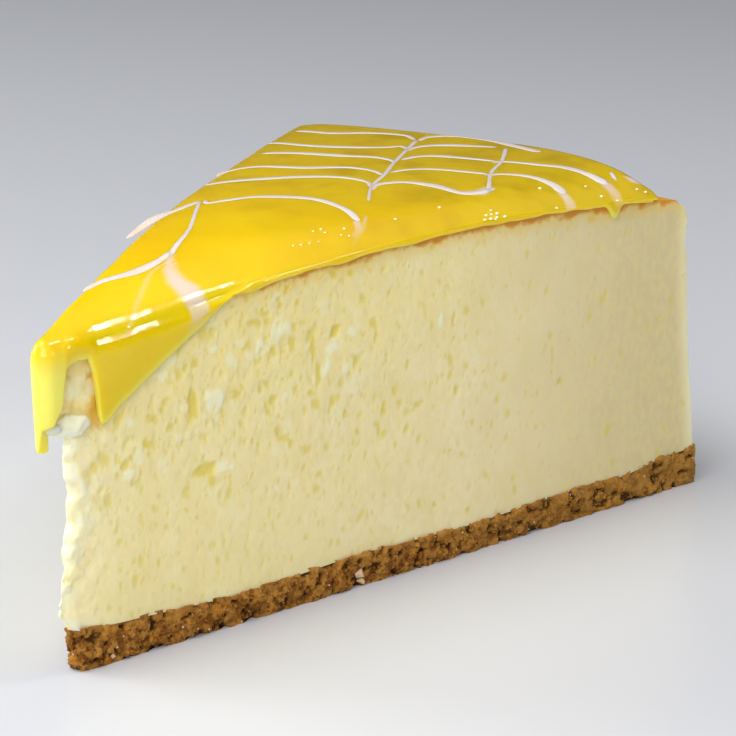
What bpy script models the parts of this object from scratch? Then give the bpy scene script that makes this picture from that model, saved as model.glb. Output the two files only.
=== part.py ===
# A slice of lemon cheesecake: a biscuit base, a tall baked filling and a poured lemon
# glaze with feathered white icing. The slice is drawn in millimetres from its tip,
# with +Y running from the tip to the rim and +X towards the near cut, and is then
# centred on the middle of its footprint.

import math

import bmesh
import bpy
import numpy as np

MM = 0.001
GAP = 0.3  # between one layer and the next
HALF_ANGLE = math.radians(16.76)  # from the middle line to each cut
RIM = 123.5  # from the tip to the baked wall, near the top
RIM_FLARE = 4.1  # how much further the wall stands out at the bottom
FLARE_HEIGHT = 42.0  # the wall is upright above this
SHOULDER = [(0.93, 0.0), (0.975, 1.9), (1.0, 4.2)]  # height share and inset of the rim's round edge
HEART = (0.0, 78.0)  # the point that the inner rings shrink to

# How far the filling's tip is from the middle of the whole cake, by height.
TIP_HEIGHTS = [5, 7, 9, 13, 17, 23, 30, 33.5, 36, 46]
TIP_REACHES = [3.6, 3.4, 2.0, 1.8, 3.2, 4.1, 4.0, 4.2, 1.2, 1.2]
BASE_TIP = 3.6  # the same for the biscuit base

# The seam between base and filling, by distance from the tip.
SEAM_HEIGHT = 5.0
SEAM_AT_TIP = 2.0  # how much higher it is at the tip, and how fast that fades
SEAM_TIP_FADE = 12.0
SEAM_RIM_RISE = 1.6  # how much it climbs towards the rim, from where and over how far
SEAM_RISE_START = 108.0
SEAM_RISE_LENGTH = 14.0
SEAM_WAVE = 0.25
SEAM_WAVE_LENGTH = 7.0  # for one radian of the wave

# The filling's top: it climbs to its peak and then falls a little.
FILLING_TIP_TOP = 46.4
FILLING_CLIMB = 4.8
FILLING_PEAK = 82.0
FILLING_FALL = 2.3
FILLING_FALL_LENGTH = 37.0
FILLING_FALL_POWER = 1.3
FILLING_LOW = 7.0  # the usual height of the filling's foot, and how tall the cut is
FILLING_TALL = 40.0

FILLING_SHARES = [0, 0.035, 0.09, 0.16, 0.24, 0.33, 0.43, 0.53, 0.62, 0.69, 0.76, 0.86]
FILLING_RELIEF = 0.55  # the deepest hollow in a cut face
FILLING_BUMP = 8.0  # how far its hollows are across
WALL_RELIEF = 0.15
WALL_POWER = 1.5  # of the wall's flare
BASE_RELIEF = 0.8
BASE_BUMP = 3.2
BASE_LEVEL = 0.55  # the unevenness that leaves the side where it is
BASE_TOP_INSET = 0.35
BASE_EDGE = 0.7  # how far the base's lower edge is drawn in
BASE_USUAL = 4.0  # the base's usual height, for the wall's reach
BASE_SHARES = [0.0, 0.12, 0.38, 0.62, 0.85, 1.0]
INNER_SHARES = (0.9, 0.55, 0.2)  # the rings of a flat end, from its edge to its middle
FILLING_TOP_SHARES = (0.9, 0.7, 0.45, 0.2)

GLAZE_RIM = 118.4  # the glaze stops short of the wall
GLAZE_DRAWN_BACK = 1.9  # and further short of it towards the near cut
GLAZE_TIP = 1.0
GLAZE_LIP = {"near": 0.8, "far": 1.1, "tip": 1.9, "rim": 0.15}
GLAZE_HANG = 0.5  # below the filling's edge where there is no drape
GLAZE_WAVE = 0.35  # of the glaze's edge at the rim
GLAZE_WAVES = 4.5
GLAZE_DRAWN_FROM = 0.35  # the share of the way to the near cut where it starts to draw back

# The glaze's top where it is full, by distance from the tip.
GLAZE_TIP_TOP = 49.2
GLAZE_CLIMB = 5.5
GLAZE_PEAK = 65.0
GLAZE_FALL = 0.6
GLAZE_FALL_LENGTH = 50.0
# Its edges: how thick it is at the near cut, how much lower it is at the far one, how
# far from each edge it is full again, and how thick it is where it stops at the rim.
GLAZE_EDGE = 1.0
GLAZE_TIP_EDGE = 1.1
GLAZE_TIP_FADE = 10.0
GLAZE_NEAR_DROOP = 5.0
GLAZE_FAR_FALL = 0.6
GLAZE_FAR_FROM = 30.0
GLAZE_FAR_DROOP = 3.0
GLAZE_RIM_ROUND = 3.0
GLAZE_RIM_THICK = 1.4
GLAZE_RIM_SHARE = 0.75
GLAZE_RIM_ZONE = 12.0  # the glaze follows its own rim this far in
GLAZE_UNEVEN = 0.35  # how much the lip varies, and over what length
GLAZE_UNEVEN_SIZE = 8.0
GLAZE_ON_TOP = 1.0  # this close to its rim the glaze lies on the filling
GLAZE_LIP_FALL = 1.0  # how far below the top the lip is widest, at most
GLAZE_LIP_SHARE = 0.45  # and what share of the whole edge that may be
GLAZE_TOP_SHARES = (0.2, 0.45, 0.65, 0.8, 0.9, 0.965)
GLAZE_LIP_START = (0.6, 0.25)  # share of the lip and of its fall where it has begun to round
GLAZE_CURTAIN = {"tip": 1.7, "cut": 0.75}  # how far out the drape hangs
GLAZE_CURTAIN_END = {"tip": 1.2, "cut": 0.55}
GLAZE_CURTAIN_SHARES = (0.3, 0.65, 0.92)
GLAZE_CURTAIN_POWER = 1.5
GLAZE_INSIDE = -0.6  # at the rim, how far in its underside starts and where it is flat
GLAZE_UNDERSIDE = -1.2
GLAZE_INNER_RISE = (0.4, 0.2)  # the drape's inner edge: above its outer one, below the filling's top
GLAZE_UNDER_SHARES = (0.93, 0.7, 0.45, 0.2)

# The lower edge of the glaze that runs down each cut, by distance from the tip:
# a long drip at the tip, a bare patch, then a drape that tapers away.
NEAR_DRAPE = [(0, 33.0), (0.9, 35.4), (1.9, 37.6), (3.0, 41), (4.0, 45), (7.8, 45), (9.2, 35.4), (31.5, 48.6)]
FAR_DRAPE = [(0, 35.0), (2.0, 39.0), (6.0, 40.5), (24.0, 47.5), (30.0, 48.5)]
NEAR_DRAPE_END = 31.5
FAR_DRAPE_END = 30.0
DRAPE_LET_GO = 2.5  # past its end a drape no longer holds the edge down
LIFTED = 0.05  # the glaze's edge at the rim lies this much above the gap

# Icing lines: x and y of the start and the end, how far the line bows away from the
# tip, and its half width at the start and the end.
ICING_LINES = [
    (-30.6, 106.4, -11.3, 111.5, 3.0, 0.75, 0.6),
    (-10.8, 111.6, 9.0, 113.6, 3.0, 0.6, 0.75),
    (-29.2, 95.2, -8.0, 103.0, 0.3, 0.75, 0.6),
    (-7.2, 103.4, 4.2, 112.6, 3.6, 0.6, 0.7),
    (-26.8, 86.4, -3.1, 92.8, 2.9, 0.75, 0.6),
    (-3.6, 95.6, 9.0, 104.2, 2.9, 0.6, 0.7),
    (9.2, 104.3, 27.0, 104.8, 3.1, 0.7, 0.7),
    (-21.4, 71.8, 0.0, 84.5, 5.0, 0.75, 0.6),
    (-0.2, 86.2, 12.6, 95.6, 2.8, 0.6, 0.8),
    (12.8, 95.7, 24.4, 95.4, 2.4, 0.8, 0.6),
    (-19.6, 65.6, 2.2, 77.2, 4.9, 0.75, 0.6),
    (2.6, 77.6, 17.0, 83.2, 3.2, 0.7, 1.1),
    (-13.8, 56.4, 11.4, 59.0, 7.4, 0.7, 0.8),
    (-14.2, 56.0, -12.4, 38.0, -1.2, 0.7, 0.6),
    (-3.6, 32.0, -5.6, 19.0, -0.4, 0.8, 0.6),
]
# The strokes that were dragged across them, in the same form.
ICING_DRAGS = [
    (-11.2, 111.6, 12.2, 59.4, 0.4, 0.55, 0.55),
    (4.9, 113.4, 18.0, 85.2, 0.4, 0.55, 0.7),
    (-14.0, 55.6, 5.0, 25.6, -1.6, 0.6, 1.1),
]
ICING_PROUD = 0.35
ICING_STEP = 2.4  # between a line's points
ICING_THICK = 0.45  # the most of the glaze's thickness that a line's radius may be

SIDE_STEPS = 36
RIM_STEPS = 13
SIDE_POWER = 1.5  # the side's points are closer together towards the tip
TIP_TURNS = [-0.55, 0.0, 0.55]  # where the tip's points lie between the two cuts
WAVES = 9  # in the unevenness, each within this range of its size
WAVE_RANGE = (0.7, 1.4)
BASE_SEED = 11
FILLING_SEED = 23
LIP_SEED = 5
SHARP = math.radians(50)
WELD = 0.00001


def clear_scene():
    for thing in list(bpy.data.objects):
        bpy.data.objects.remove(thing)


def outline(tip, rim, count=SIDE_STEPS):
    """Points, outward directions and kinds (near, rim, far, tip) round a slice, tip to rim and back."""
    start = tip / (1 / math.cos(HALF_ANGLE) - math.tan(HALF_ANGLE))
    share = (np.arange(count) / (count - 1)) ** SIDE_POWER
    reach = start + (rim - start) * share
    side = [math.sin(HALF_ANGLE), math.cos(HALF_ANGLE)]
    near = np.outer(reach, side)
    angles = np.linspace(HALF_ANGLE, -HALF_ANGLE, RIM_STEPS + 2)[1:-1]
    wall_way = np.stack([np.sin(angles), np.cos(angles)], 1)
    far = near[::-1] * [-1, 1]
    turns = np.array(TIP_TURNS[::-1]) * (math.pi / 2 - HALF_ANGLE)
    tip_way = np.stack([-np.sin(turns[::-1]), -np.cos(turns)], 1)
    radius = start * math.tan(HALF_ANGLE)
    middle = [0, start / math.cos(HALF_ANGLE)]
    points = np.concatenate([near, wall_way * rim, far, middle + tip_way * radius])
    near_way = np.tile([side[1], -side[0]], (count, 1))
    ways = np.concatenate([near_way, wall_way, near_way * [-1, 1], tip_way])
    kinds = ["near"] * count + ["rim"] * RIM_STEPS + ["far"] * count + ["tip"] * len(turns)
    return points, ways, np.array(kinds)


def unevenness(points, size, seed):
    """Smooth bumps about size across, between 0 and 1: waves that run in random directions."""
    random = np.random.default_rng(seed)
    total = np.zeros(len(points))
    for _ in range(WAVES):
        way = random.normal(size=3)
        way /= np.linalg.norm(way)
        along = points @ way * math.pi / size * random.uniform(*WAVE_RANGE)
        total += np.sin(along + random.uniform(0, 2 * math.pi))
    return np.clip(0.5 + total / WAVES, 0, 1)


def wall_reach(height):
    return RIM + RIM_FLARE * np.clip(1 - height / FLARE_HEIGHT, 0, 1) ** WALL_POWER


def seam_height(distance):
    """Where the biscuit ends and the filling begins, by distance from the tip."""
    rise = np.clip((distance - SEAM_RISE_START) / SEAM_RISE_LENGTH, 0, 1)
    at_tip = SEAM_AT_TIP * np.exp(-distance / SEAM_TIP_FADE)
    at_rim = SEAM_RIM_RISE * rise**2 * (3 - 2 * rise)
    return SEAM_HEIGHT + at_tip + at_rim + SEAM_WAVE * np.sin(distance / SEAM_WAVE_LENGTH)


def filling_height(distance):
    """The filling's top: it climbs from the tip and falls a little towards the rim."""
    climb = FILLING_CLIMB * np.sin(math.pi / 2 * np.clip(distance / FILLING_PEAK, 0, 1))
    beyond = np.clip((distance - FILLING_PEAK) / FILLING_FALL_LENGTH, 0, None)
    return FILLING_TIP_TOP + climb - FILLING_FALL * beyond**FILLING_FALL_POWER


def glaze_rim(points):
    """How far from the tip the glaze reaches, by direction."""
    turn = np.arctan2(points[:, 0], points[:, 1]) / HALF_ANGLE
    to_near = np.clip((turn - GLAZE_DRAWN_FROM) / (1 - GLAZE_DRAWN_FROM), 0, 1)
    return GLAZE_RIM + GLAZE_WAVE * np.sin(GLAZE_WAVES * turn) - GLAZE_DRAWN_BACK * to_near


def glaze_height(points):
    """The glaze's top: level in the middle, drooping to the near cut and rounding off at the rim."""
    distance = np.hypot(points[:, 0], points[:, 1])
    under = filling_height(distance)
    full = GLAZE_TIP_TOP + GLAZE_CLIMB * np.sin(math.pi / 2 * np.clip(distance / GLAZE_PEAK, 0, 1))
    full = full - GLAZE_FALL * np.clip((distance - GLAZE_PEAK) / GLAZE_FALL_LENGTH, 0, None) ** 3
    from_near = np.clip(points[:, 1] * math.sin(HALF_ANGLE) - points[:, 0] * math.cos(HALF_ANGLE), 0, None)
    from_far = np.clip(points[:, 1] * math.sin(HALF_ANGLE) + points[:, 0] * math.cos(HALF_ANGLE), 0, None)
    from_rim = np.clip((glaze_rim(points) - distance) / GLAZE_RIM_ROUND, 0, 1)
    lip = under + GLAZE_EDGE + GLAZE_TIP_EDGE * np.exp(-distance / GLAZE_TIP_FADE)
    far_fall = GLAZE_FAR_FALL * np.clip(distance / GLAZE_FAR_FROM, 0, 1) * np.exp(-from_far / GLAZE_FAR_DROOP)
    top = full - (full - lip) * np.exp(-from_near / GLAZE_NEAR_DROOP) - far_fall
    edge = under + np.minimum(GLAZE_RIM_THICK, GLAZE_RIM_SHARE * (top - under))
    return edge + (top - edge) * np.sqrt(1 - (1 - from_rim) ** 2)


def ring(flat, heights):
    return np.column_stack([flat, np.broadcast_to(heights, len(flat))])


def shrunk(flat, share):
    return np.array(HEART) + share * (flat - HEART)


def material(name, colour, roughness, sheen=0.0):
    finish = bpy.data.materials.new(name)
    finish.use_nodes = True
    shader = finish.node_tree.nodes["Principled BSDF"]
    shader.inputs["Base Color"].default_value = (*colour, 1)
    shader.inputs["Roughness"].default_value = roughness
    shader.inputs["Metallic"].default_value = 0.0
    shader.inputs["Coat Weight"].default_value = sheen
    return finish


def loft(name, rings, finish, home):
    """One closed body through rings of equal count, with each end closed to its own middle."""
    count = len(rings[0])
    middles = [rings[0].mean(axis=0), rings[-1].mean(axis=0)]
    points = np.concatenate([*rings, middles]) * MM
    faces = []
    for level in range(len(rings) - 1):
        low = level * count
        for step in range(count):
            after = (step + 1) % count
            faces.append((low + step, low + after, low + count + after, low + count + step))
    first, last = len(points) - 2, len(points) - 1
    top = (len(rings) - 1) * count
    for step in range(count):
        after = (step + 1) % count
        faces.append((first, after, step))
        faces.append((last, top + step, top + after))
    mesh = bpy.data.meshes.new(name)
    mesh.from_pydata(points.tolist(), [], faces)
    return finished(name, mesh, finish, home)


def finished(name, mesh, finish, home):
    body = bmesh.new()
    body.from_mesh(mesh)
    bmesh.ops.recalc_face_normals(body, faces=body.faces)
    body.to_mesh(mesh)
    body.free()
    mesh.materials.append(finish)
    mesh.shade_smooth()
    mesh.set_sharp_from_angle(angle=SHARP)
    thing = bpy.data.objects.new(name, mesh)
    home.objects.link(thing)
    return thing


def biscuit_base(home):
    """Pressed crumbs: a flat underside, a rough side and a top that follows the seam."""
    rings = []
    for share in BASE_SHARES:
        flat, ways, _ = outline(BASE_TIP, wall_reach(BASE_USUAL * share))
        top = seam_height(np.hypot(flat[:, 0], flat[:, 1]))
        rough = unevenness(ring(flat, top * share), BASE_BUMP, BASE_SEED) - BASE_LEVEL
        drawn = BASE_RELIEF * rough if 0 < share < 1 else -BASE_TOP_INSET
        if share == 0:
            drawn = -BASE_EDGE
        rings.append(ring(flat + ways * np.reshape(drawn, (-1, 1)), top * share))
    for share in INNER_SHARES:
        flat = shrunk(rings[len(BASE_SHARES) - 1][:, :2], share)
        rings.append(ring(flat, seam_height(np.hypot(flat[:, 0], flat[:, 1]))))
    crumb = material("biscuit crumb", (0.40, 0.22, 0.075), 0.9)
    return loft("biscuit_base", rings, crumb, home)


def cheese_filling(home):
    """The baked filling, with shallow hollows in the cuts and a ragged tip."""
    rings = []
    shares = [(share, 0.0) for share in FILLING_SHARES] + SHOULDER
    for share, inset in shares:
        height = FILLING_LOW + share * FILLING_TALL
        tip = float(np.interp(height, TIP_HEIGHTS, TIP_REACHES))
        flat, ways, kinds = outline(tip, wall_reach(height) - inset)
        distance = np.hypot(flat[:, 0], flat[:, 1])
        low = seam_height(distance) + GAP
        heights = low + share * (filling_height(distance) - low)
        depth = np.where(kinds == "rim", WALL_RELIEF, FILLING_RELIEF)
        hollow = depth * unevenness(ring(flat, heights), FILLING_BUMP, FILLING_SEED)
        rings.append(ring(flat - ways * hollow[:, None], heights))
    bottom, top = rings[0][:, :2], rings[-1][:, :2]
    for share in INNER_SHARES:
        flat = shrunk(bottom, share)
        rings.insert(0, ring(flat, seam_height(np.hypot(flat[:, 0], flat[:, 1])) + GAP))
    for share in FILLING_TOP_SHARES:
        flat = shrunk(top, share)
        rings.append(ring(flat, filling_height(np.hypot(flat[:, 0], flat[:, 1]))))
    cream = material("baked filling", (0.80, 0.70, 0.42), 0.6)
    return loft("cheese_filling", rings, cream, home)


def drape_edge(flat, kinds):
    """The height of the glaze's lower edge all the way round."""
    distance = np.hypot(flat[:, 0], flat[:, 1])
    edge = filling_height(distance) - GLAZE_HANG
    near = np.interp(distance, *zip(*NEAR_DRAPE))
    far = np.interp(distance, *zip(*FAR_DRAPE))
    near = near + DRAPE_LET_GO * (distance > NEAR_DRAPE_END)
    far = far + DRAPE_LET_GO * (distance > FAR_DRAPE_END)
    edge = np.where(kinds == "near", np.minimum(edge, near), edge)
    edge = np.where(kinds == "far", np.minimum(edge, far), edge)
    edge = np.where(kinds == "tip", NEAR_DRAPE[0][1], edge)
    on_top = (kinds == "rim") | (distance > glaze_rim(flat) - GLAZE_ON_TOP)
    return np.where(on_top, filling_height(distance) + GAP + LIFTED, edge)


def glaze_body(home):
    """The poured glaze: a thick top, a rounded lip, what hangs from it, and its underside."""
    flat, ways, kinds = outline(GLAZE_TIP, GLAZE_RIM)
    distance = np.hypot(flat[:, 0], flat[:, 1])
    drawn = np.where(distance > GLAZE_RIM - GLAZE_RIM_ZONE, glaze_rim(flat) / GLAZE_RIM, 1)
    flat = flat * drawn[:, None]
    top_edge = glaze_height(flat)
    low_edge = drape_edge(flat, kinds)
    lip = np.array([GLAZE_LIP[kind] for kind in kinds])
    lip = lip * (1 + GLAZE_UNEVEN * (unevenness(ring(flat, 0), GLAZE_UNEVEN_SIZE, LIP_SEED) - 0.5))
    rim = kinds == "rim"
    on_top = rim | (np.hypot(flat[:, 0], flat[:, 1]) > glaze_rim(flat) - GLAZE_ON_TOP)
    fall = np.minimum(GLAZE_LIP_FALL, GLAZE_LIP_SHARE * (top_edge - low_edge))
    rings = []
    for share in GLAZE_TOP_SHARES:
        inner = shrunk(flat, share)
        rings.append(ring(inner, glaze_height(inner)))
    rings.append(ring(flat, top_edge))
    out_share, fall_share = GLAZE_LIP_START
    rings.append(ring(flat + ways * (out_share * lip)[:, None], top_edge - fall_share * fall))
    rings.append(ring(flat + ways * lip[:, None], top_edge - fall))
    at_tip = kinds == "tip"
    thin = np.select([rim, at_tip], [lip, GLAZE_CURTAIN["tip"]], GLAZE_CURTAIN["cut"])
    for share in GLAZE_CURTAIN_SHARES:
        out = lip + (thin - lip) * share**GLAZE_CURTAIN_POWER
        height = top_edge - fall + share * (low_edge - top_edge + fall)
        rings.append(ring(flat + ways * out[:, None], height))
    last = np.select([rim, at_tip], [0.0, GLAZE_CURTAIN_END["tip"]], GLAZE_CURTAIN_END["cut"])
    rings.append(ring(flat + ways * last[:, None], low_edge))
    inside = np.where(rim, GLAZE_INSIDE, GAP)
    under = filling_height(np.hypot(flat[:, 0], flat[:, 1])) + GAP
    above_edge, below_top = GLAZE_INNER_RISE
    start = np.where(on_top, under, np.minimum(low_edge + above_edge, under - below_top))
    rings.append(ring(flat + ways * inside[:, None], start))
    inner = flat + ways * np.where(rim, GLAZE_UNDERSIDE, GAP)[:, None]
    rings.append(ring(inner, under))
    for share in GLAZE_UNDER_SHARES:
        inner = shrunk(flat, share)
        rings.append(ring(inner, filling_height(np.hypot(inner[:, 0], inner[:, 1])) + GAP))
    lemon = material("lemon glaze", (0.92, 0.60, 0.02), 0.12, 0.6)
    return loft("lemon_glaze", rings, lemon, home)


def icing_line(name, line, home):
    """One line of icing: a tube that is sunk in the glaze but for its upper part."""
    start, end = np.array(line[0:2]), np.array(line[2:4])
    bow, first_width, last_width = line[4:7]
    along = end - start
    length = float(np.linalg.norm(along))
    steps = max(4, round(length / ICING_STEP))
    share = np.linspace(0, 1, steps + 1)[:, None]
    side = np.array([-along[1], along[0]]) / length
    flat = start + share * along + 4 * bow * share * (1 - share) * side
    width = (first_width + share * (last_width - first_width))[:, 0]
    top = glaze_height(flat)
    depth = top - filling_height(np.hypot(flat[:, 0], flat[:, 1])) - GAP
    width = np.minimum(width, ICING_THICK * (depth + ICING_PROUD))  # never as thick as the glaze
    heights = top + ICING_PROUD - width
    curve = bpy.data.curves.new(name, "CURVE")
    curve.dimensions = "3D"
    curve.bevel_depth = MM
    curve.bevel_resolution = 1
    curve.use_fill_caps = True
    spline = curve.splines.new("POLY")
    spline.points.add(steps)
    for point, (x, y, z), size in zip(spline.points, ring(flat, heights) * MM, width):
        point.co = (x, y, z, 1)
        point.radius = size
    tube = bpy.data.objects.new(name, curve)
    home.objects.link(tube)
    return tube


def as_mesh(tube, home):
    """A mesh with welded caps in the curve's place."""
    graph = bpy.context.evaluated_depsgraph_get()
    mesh = bpy.data.meshes.new_from_object(tube.evaluated_get(graph))
    body = bmesh.new()
    body.from_mesh(mesh)
    bmesh.ops.remove_doubles(body, verts=body.verts, dist=WELD)
    bmesh.ops.recalc_face_normals(body, faces=body.faces)
    body.to_mesh(mesh)
    body.free()
    solid = bpy.data.objects.new(tube.name + "_solid", mesh)
    solid.matrix_world = tube.matrix_world
    home.objects.link(solid)
    bpy.data.objects.remove(tube)
    return solid


def fill_sealed_hollows(mesh):
    """Lines that cross can seal a hollow under them: it is filled, by keeping the outer skin alone."""
    body = bmesh.new()
    body.from_mesh(mesh)
    left = set(body.faces)
    skins = []
    while left:
        reached = [left.pop()]
        skin = list(reached)
        while reached:
            for edge in reached.pop().edges:
                for face in edge.link_faces:
                    if face in left:
                        left.remove(face)
                        reached.append(face)
                        skin.append(face)
        skins.append(skin)
    skins.sort(key=len)
    for skin in skins[:-1]:
        bmesh.ops.delete(body, geom=skin, context="FACES")
    bmesh.ops.triangulate(body, faces=body.faces)
    body.to_mesh(mesh)
    body.free()


def lemon_glaze(home, loose):
    """The glaze with every icing line joined to it."""
    glaze = glaze_body(home)
    for number, line in enumerate(ICING_LINES + ICING_DRAGS):
        tube = icing_line(f"icing_{number}", line, loose)
        bpy.context.view_layer.update()
        as_mesh(tube, loose)
    union = glaze.modifiers.new("icing", "BOOLEAN")
    union.operation = "UNION"
    union.operand_type = "COLLECTION"
    union.collection = loose
    union.solver = "MANIFOLD"
    graph = bpy.context.evaluated_depsgraph_get()
    joined = bpy.data.meshes.new_from_object(glaze.evaluated_get(graph))
    joined.name = "lemon_glaze"
    fill_sealed_hollows(joined)
    glaze.modifiers.clear()
    glaze.data = joined
    for solid in list(loose.objects):
        bpy.data.objects.remove(solid)
    return glaze


def centre(layers, home):
    """Hangs the layers on an empty that puts the middle of their footprint at the origin."""
    corners = np.concatenate([np.array([v.co for v in layer.data.vertices]) for layer in layers])
    middle = (corners.min(axis=0) + corners.max(axis=0)) / 2
    slice_frame = bpy.data.objects.new("slice_frame", None)
    slice_frame.location = (-middle[0], -middle[1], 0)
    home.objects.link(slice_frame)
    for layer in layers:
        layer.parent = slice_frame


def main():
    clear_scene()
    home = bpy.data.collections.new("lemon_cheesecake_slice")
    loose = bpy.data.collections.new("icing_cutters")
    bpy.context.scene.collection.children.link(home)
    bpy.context.scene.collection.children.link(loose)
    layers = [biscuit_base(home), cheese_filling(home), lemon_glaze(home, loose)]
    bpy.data.collections.remove(loose)
    centre(layers, home)


main()
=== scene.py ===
# The looks of a slice of lemon cheesecake: the cut filling with its pores, the crumb base,
# the poured glaze and the feathered icing. Everything is worked out in millimetres from the
# slice's tip (+Y runs to the rim, +X towards the near cut) and then placed in metres.

import math

import bpy
import numpy as np
from mathutils import Matrix, Vector


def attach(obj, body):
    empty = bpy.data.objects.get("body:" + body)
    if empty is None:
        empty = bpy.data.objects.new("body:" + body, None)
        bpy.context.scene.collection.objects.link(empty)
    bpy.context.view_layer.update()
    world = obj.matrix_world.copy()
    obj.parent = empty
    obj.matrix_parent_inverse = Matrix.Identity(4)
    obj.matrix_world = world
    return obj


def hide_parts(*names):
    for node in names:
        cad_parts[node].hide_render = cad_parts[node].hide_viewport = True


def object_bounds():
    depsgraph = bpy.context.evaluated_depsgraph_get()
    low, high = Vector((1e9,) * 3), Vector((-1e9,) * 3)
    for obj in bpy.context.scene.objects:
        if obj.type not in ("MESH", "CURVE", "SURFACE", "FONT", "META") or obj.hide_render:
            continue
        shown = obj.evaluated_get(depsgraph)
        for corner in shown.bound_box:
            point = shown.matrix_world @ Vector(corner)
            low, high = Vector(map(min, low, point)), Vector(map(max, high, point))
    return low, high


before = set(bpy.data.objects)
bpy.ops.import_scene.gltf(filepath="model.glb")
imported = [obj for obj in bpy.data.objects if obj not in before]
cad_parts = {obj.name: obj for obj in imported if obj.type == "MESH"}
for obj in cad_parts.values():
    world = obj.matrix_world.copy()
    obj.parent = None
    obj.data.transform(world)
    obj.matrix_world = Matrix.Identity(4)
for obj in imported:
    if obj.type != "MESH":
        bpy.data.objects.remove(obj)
cadLow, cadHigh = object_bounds()
print("frame loaded")

mm = 0.001

cake = {
    "halfAngle": math.radians(16.76),  # from the middle line to each cut
    "rim": 123.5,  # tip to wall, near the top
    "rimFlare": 4.1,  # the wall stands out this much further at the bottom
    "flareHeight": 42.0,
    "heart": (0.0, 78.0),  # the point that the inner rings shrink to
    "tipInset": 0.7043,  # the glaze reaches this far past the tip
    "giveWay": 6,  # how far each end of a row of columns shifts those beside it
    "tipArc": 0.9,  # the share of the tip's arc that has columns of its own
    # the seam between biscuit and filling: its height, its rise at the tip and how fast that
    # fades, its rise at the rim, from where and over what reach, and its low waves
    "seam": 5.0,
    "seamAtTip": (2.0, 12),
    "seamAtRim": (1.6, 108, 14),
    "seamWaves": (0.25, 7),
    # the filling's top: its height at the tip, how much it climbs and up to what reach, then
    # its fall at the rim and over what reach
    "fillingTop": 46.4,
    "fillingClimb": (4.8, 82),
    "fillingFall": (2.3, 37),
}
sinHalf, cosHalf = math.sin(cake["halfAngle"]), math.cos(cake["halfAngle"])
tipY = cadLow[1] / mm + cake["tipInset"]


# Columns along a cut, by reach: even ones, which give way to each ring's own start and end
# by exp(-gap / giveWay), so that they stand still in between.
def alongCut(start, rim, count):
    even = np.linspace(start.mean(), rim.mean(), count)
    return (even + (start - start.mean()) * np.exp((even[0] - even) / cake["giveWay"])
            + (rim - rim.mean()) * np.exp((even - even[-1]) / cake["giveWay"]))


# The outline at each height, as rings x columns x 2: along the near cut from the tip to the
# rim, round the wall, back along the far cut, and round a small arc at the tip that touches
# both cuts. tip and rim are the two reaches, one for each ring.
def sliceOutline(tip, rim, columns):
    tip, rim = np.reshape(tip, (-1, 1)), np.reshape(rim, (-1, 1))
    start = tip / (1 / cosHalf - math.tan(cake["halfAngle"]))
    side = np.array([sinHalf, cosHalf])
    near = alongCut(start, rim, columns["near"])[..., None] * side
    angles = np.linspace(cake["halfAngle"], -cake["halfAngle"], columns["rim"] + 2)[1:-1]
    wallWay = np.stack([np.sin(angles), np.cos(angles)], 1)
    wall = rim[..., None] * wallWay
    far = alongCut(start, rim, columns["far"])[:, ::-1, None] * side * [-1, 1]
    turns = np.linspace(-cake["tipArc"], cake["tipArc"], columns["tip"]) * (math.pi / 2 - cake["halfAngle"])
    tipWay = np.stack([np.sin(turns), -np.cos(turns)], 1)
    arc = (start * math.tan(cake["halfAngle"]))[..., None] * tipWay
    arc[..., 1] += start / cosHalf
    flat = np.concatenate([near, wall, far, arc], 1)
    nearWay, farWay = [cosHalf, -sinHalf], [-cosHalf, -sinHalf]
    ways = np.concatenate([np.tile(nearWay, (columns["near"], 1)), wallWay,
                           np.tile(farWay, (columns["far"], 1)), tipWay])
    kinds = np.repeat(["near", "rim", "far", "tip"],
                      [columns["near"], columns["rim"], columns["far"], columns["tip"]])
    return flat, ways, kinds


def smooth(value):  # 0 below 0, 1 above 1, and 3t^2 - 2t^3 in between
    value = np.clip(value, 0, 1)
    return value * value * (3 - 2 * value)


def wallReach(height):  # rim + flare * (1 - height / flareHeight)^1.5
    return cake["rim"] + cake["rimFlare"] * np.clip(1 - height / cake["flareHeight"], 0, 1) ** 1.5


# Where the biscuit ends, by distance from the tip: seam + rise * exp(-distance / fade) at the
# tip, a smooth step at the rim and a low sine.
def seamHeight(distance):
    tipRise, fade = cake["seamAtTip"]
    rimRise, start, length = cake["seamAtRim"]
    wave, stretch = cake["seamWaves"]
    return (cake["seam"] + tipRise * np.exp(-distance / fade) + rimRise * smooth((distance - start) / length)
            + wave * np.sin(distance / stretch))


# The filling's top: a quarter sine up from the tip, less fall * (share of the way)^1.3.
def fillingHeight(distance):
    climb, climbEnd = cake["fillingClimb"]
    fall, length = cake["fillingFall"]
    top = cake["fillingTop"] + climb * np.sin(math.pi / 2 * np.clip(distance / climbEnd, 0, 1))
    return top - fall * np.clip((distance - climbEnd) / length, 0, None) ** 1.3


# Always the same number between 0 and 1 for the same cell: the fraction of a large sine.
def scatter(cell, seed):
    return np.abs(np.sin(cell @ np.array([12.9898, 78.233, 37.719]) + seed * 5.317) * 43758.5453) % 1


# Smooth noise between 0 and 1: numbers at the corners of cubes, blended across each cube
# with 3t^2 - 2t^3, summed over octaves that halve in size and in strength.
def softNoise(points, size, seed, octaves=2):
    total, weight = 0, 0
    for octave in range(octaves):
        scaled = points / size * 2**octave + 31.7 * octave
        corner = np.floor(scaled)
        part = smooth(scaled - corner)
        value = 0
        for step in np.ndindex(2, 2, 2):
            share = np.prod(np.where(step, part, 1 - part), axis=-1)
            value = value + share * scatter(corner + step, seed + octave)
        total = total + value * 0.5**octave
        weight += 0.5**octave
    return total / weight


# Patches of a noise: 0 where it is under low, 1 where it is over low + width.
def patchy(points, size, seed, octaves, low, width):
    return smooth((softNoise(points, size, seed, octaves) - low) / width)


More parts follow.
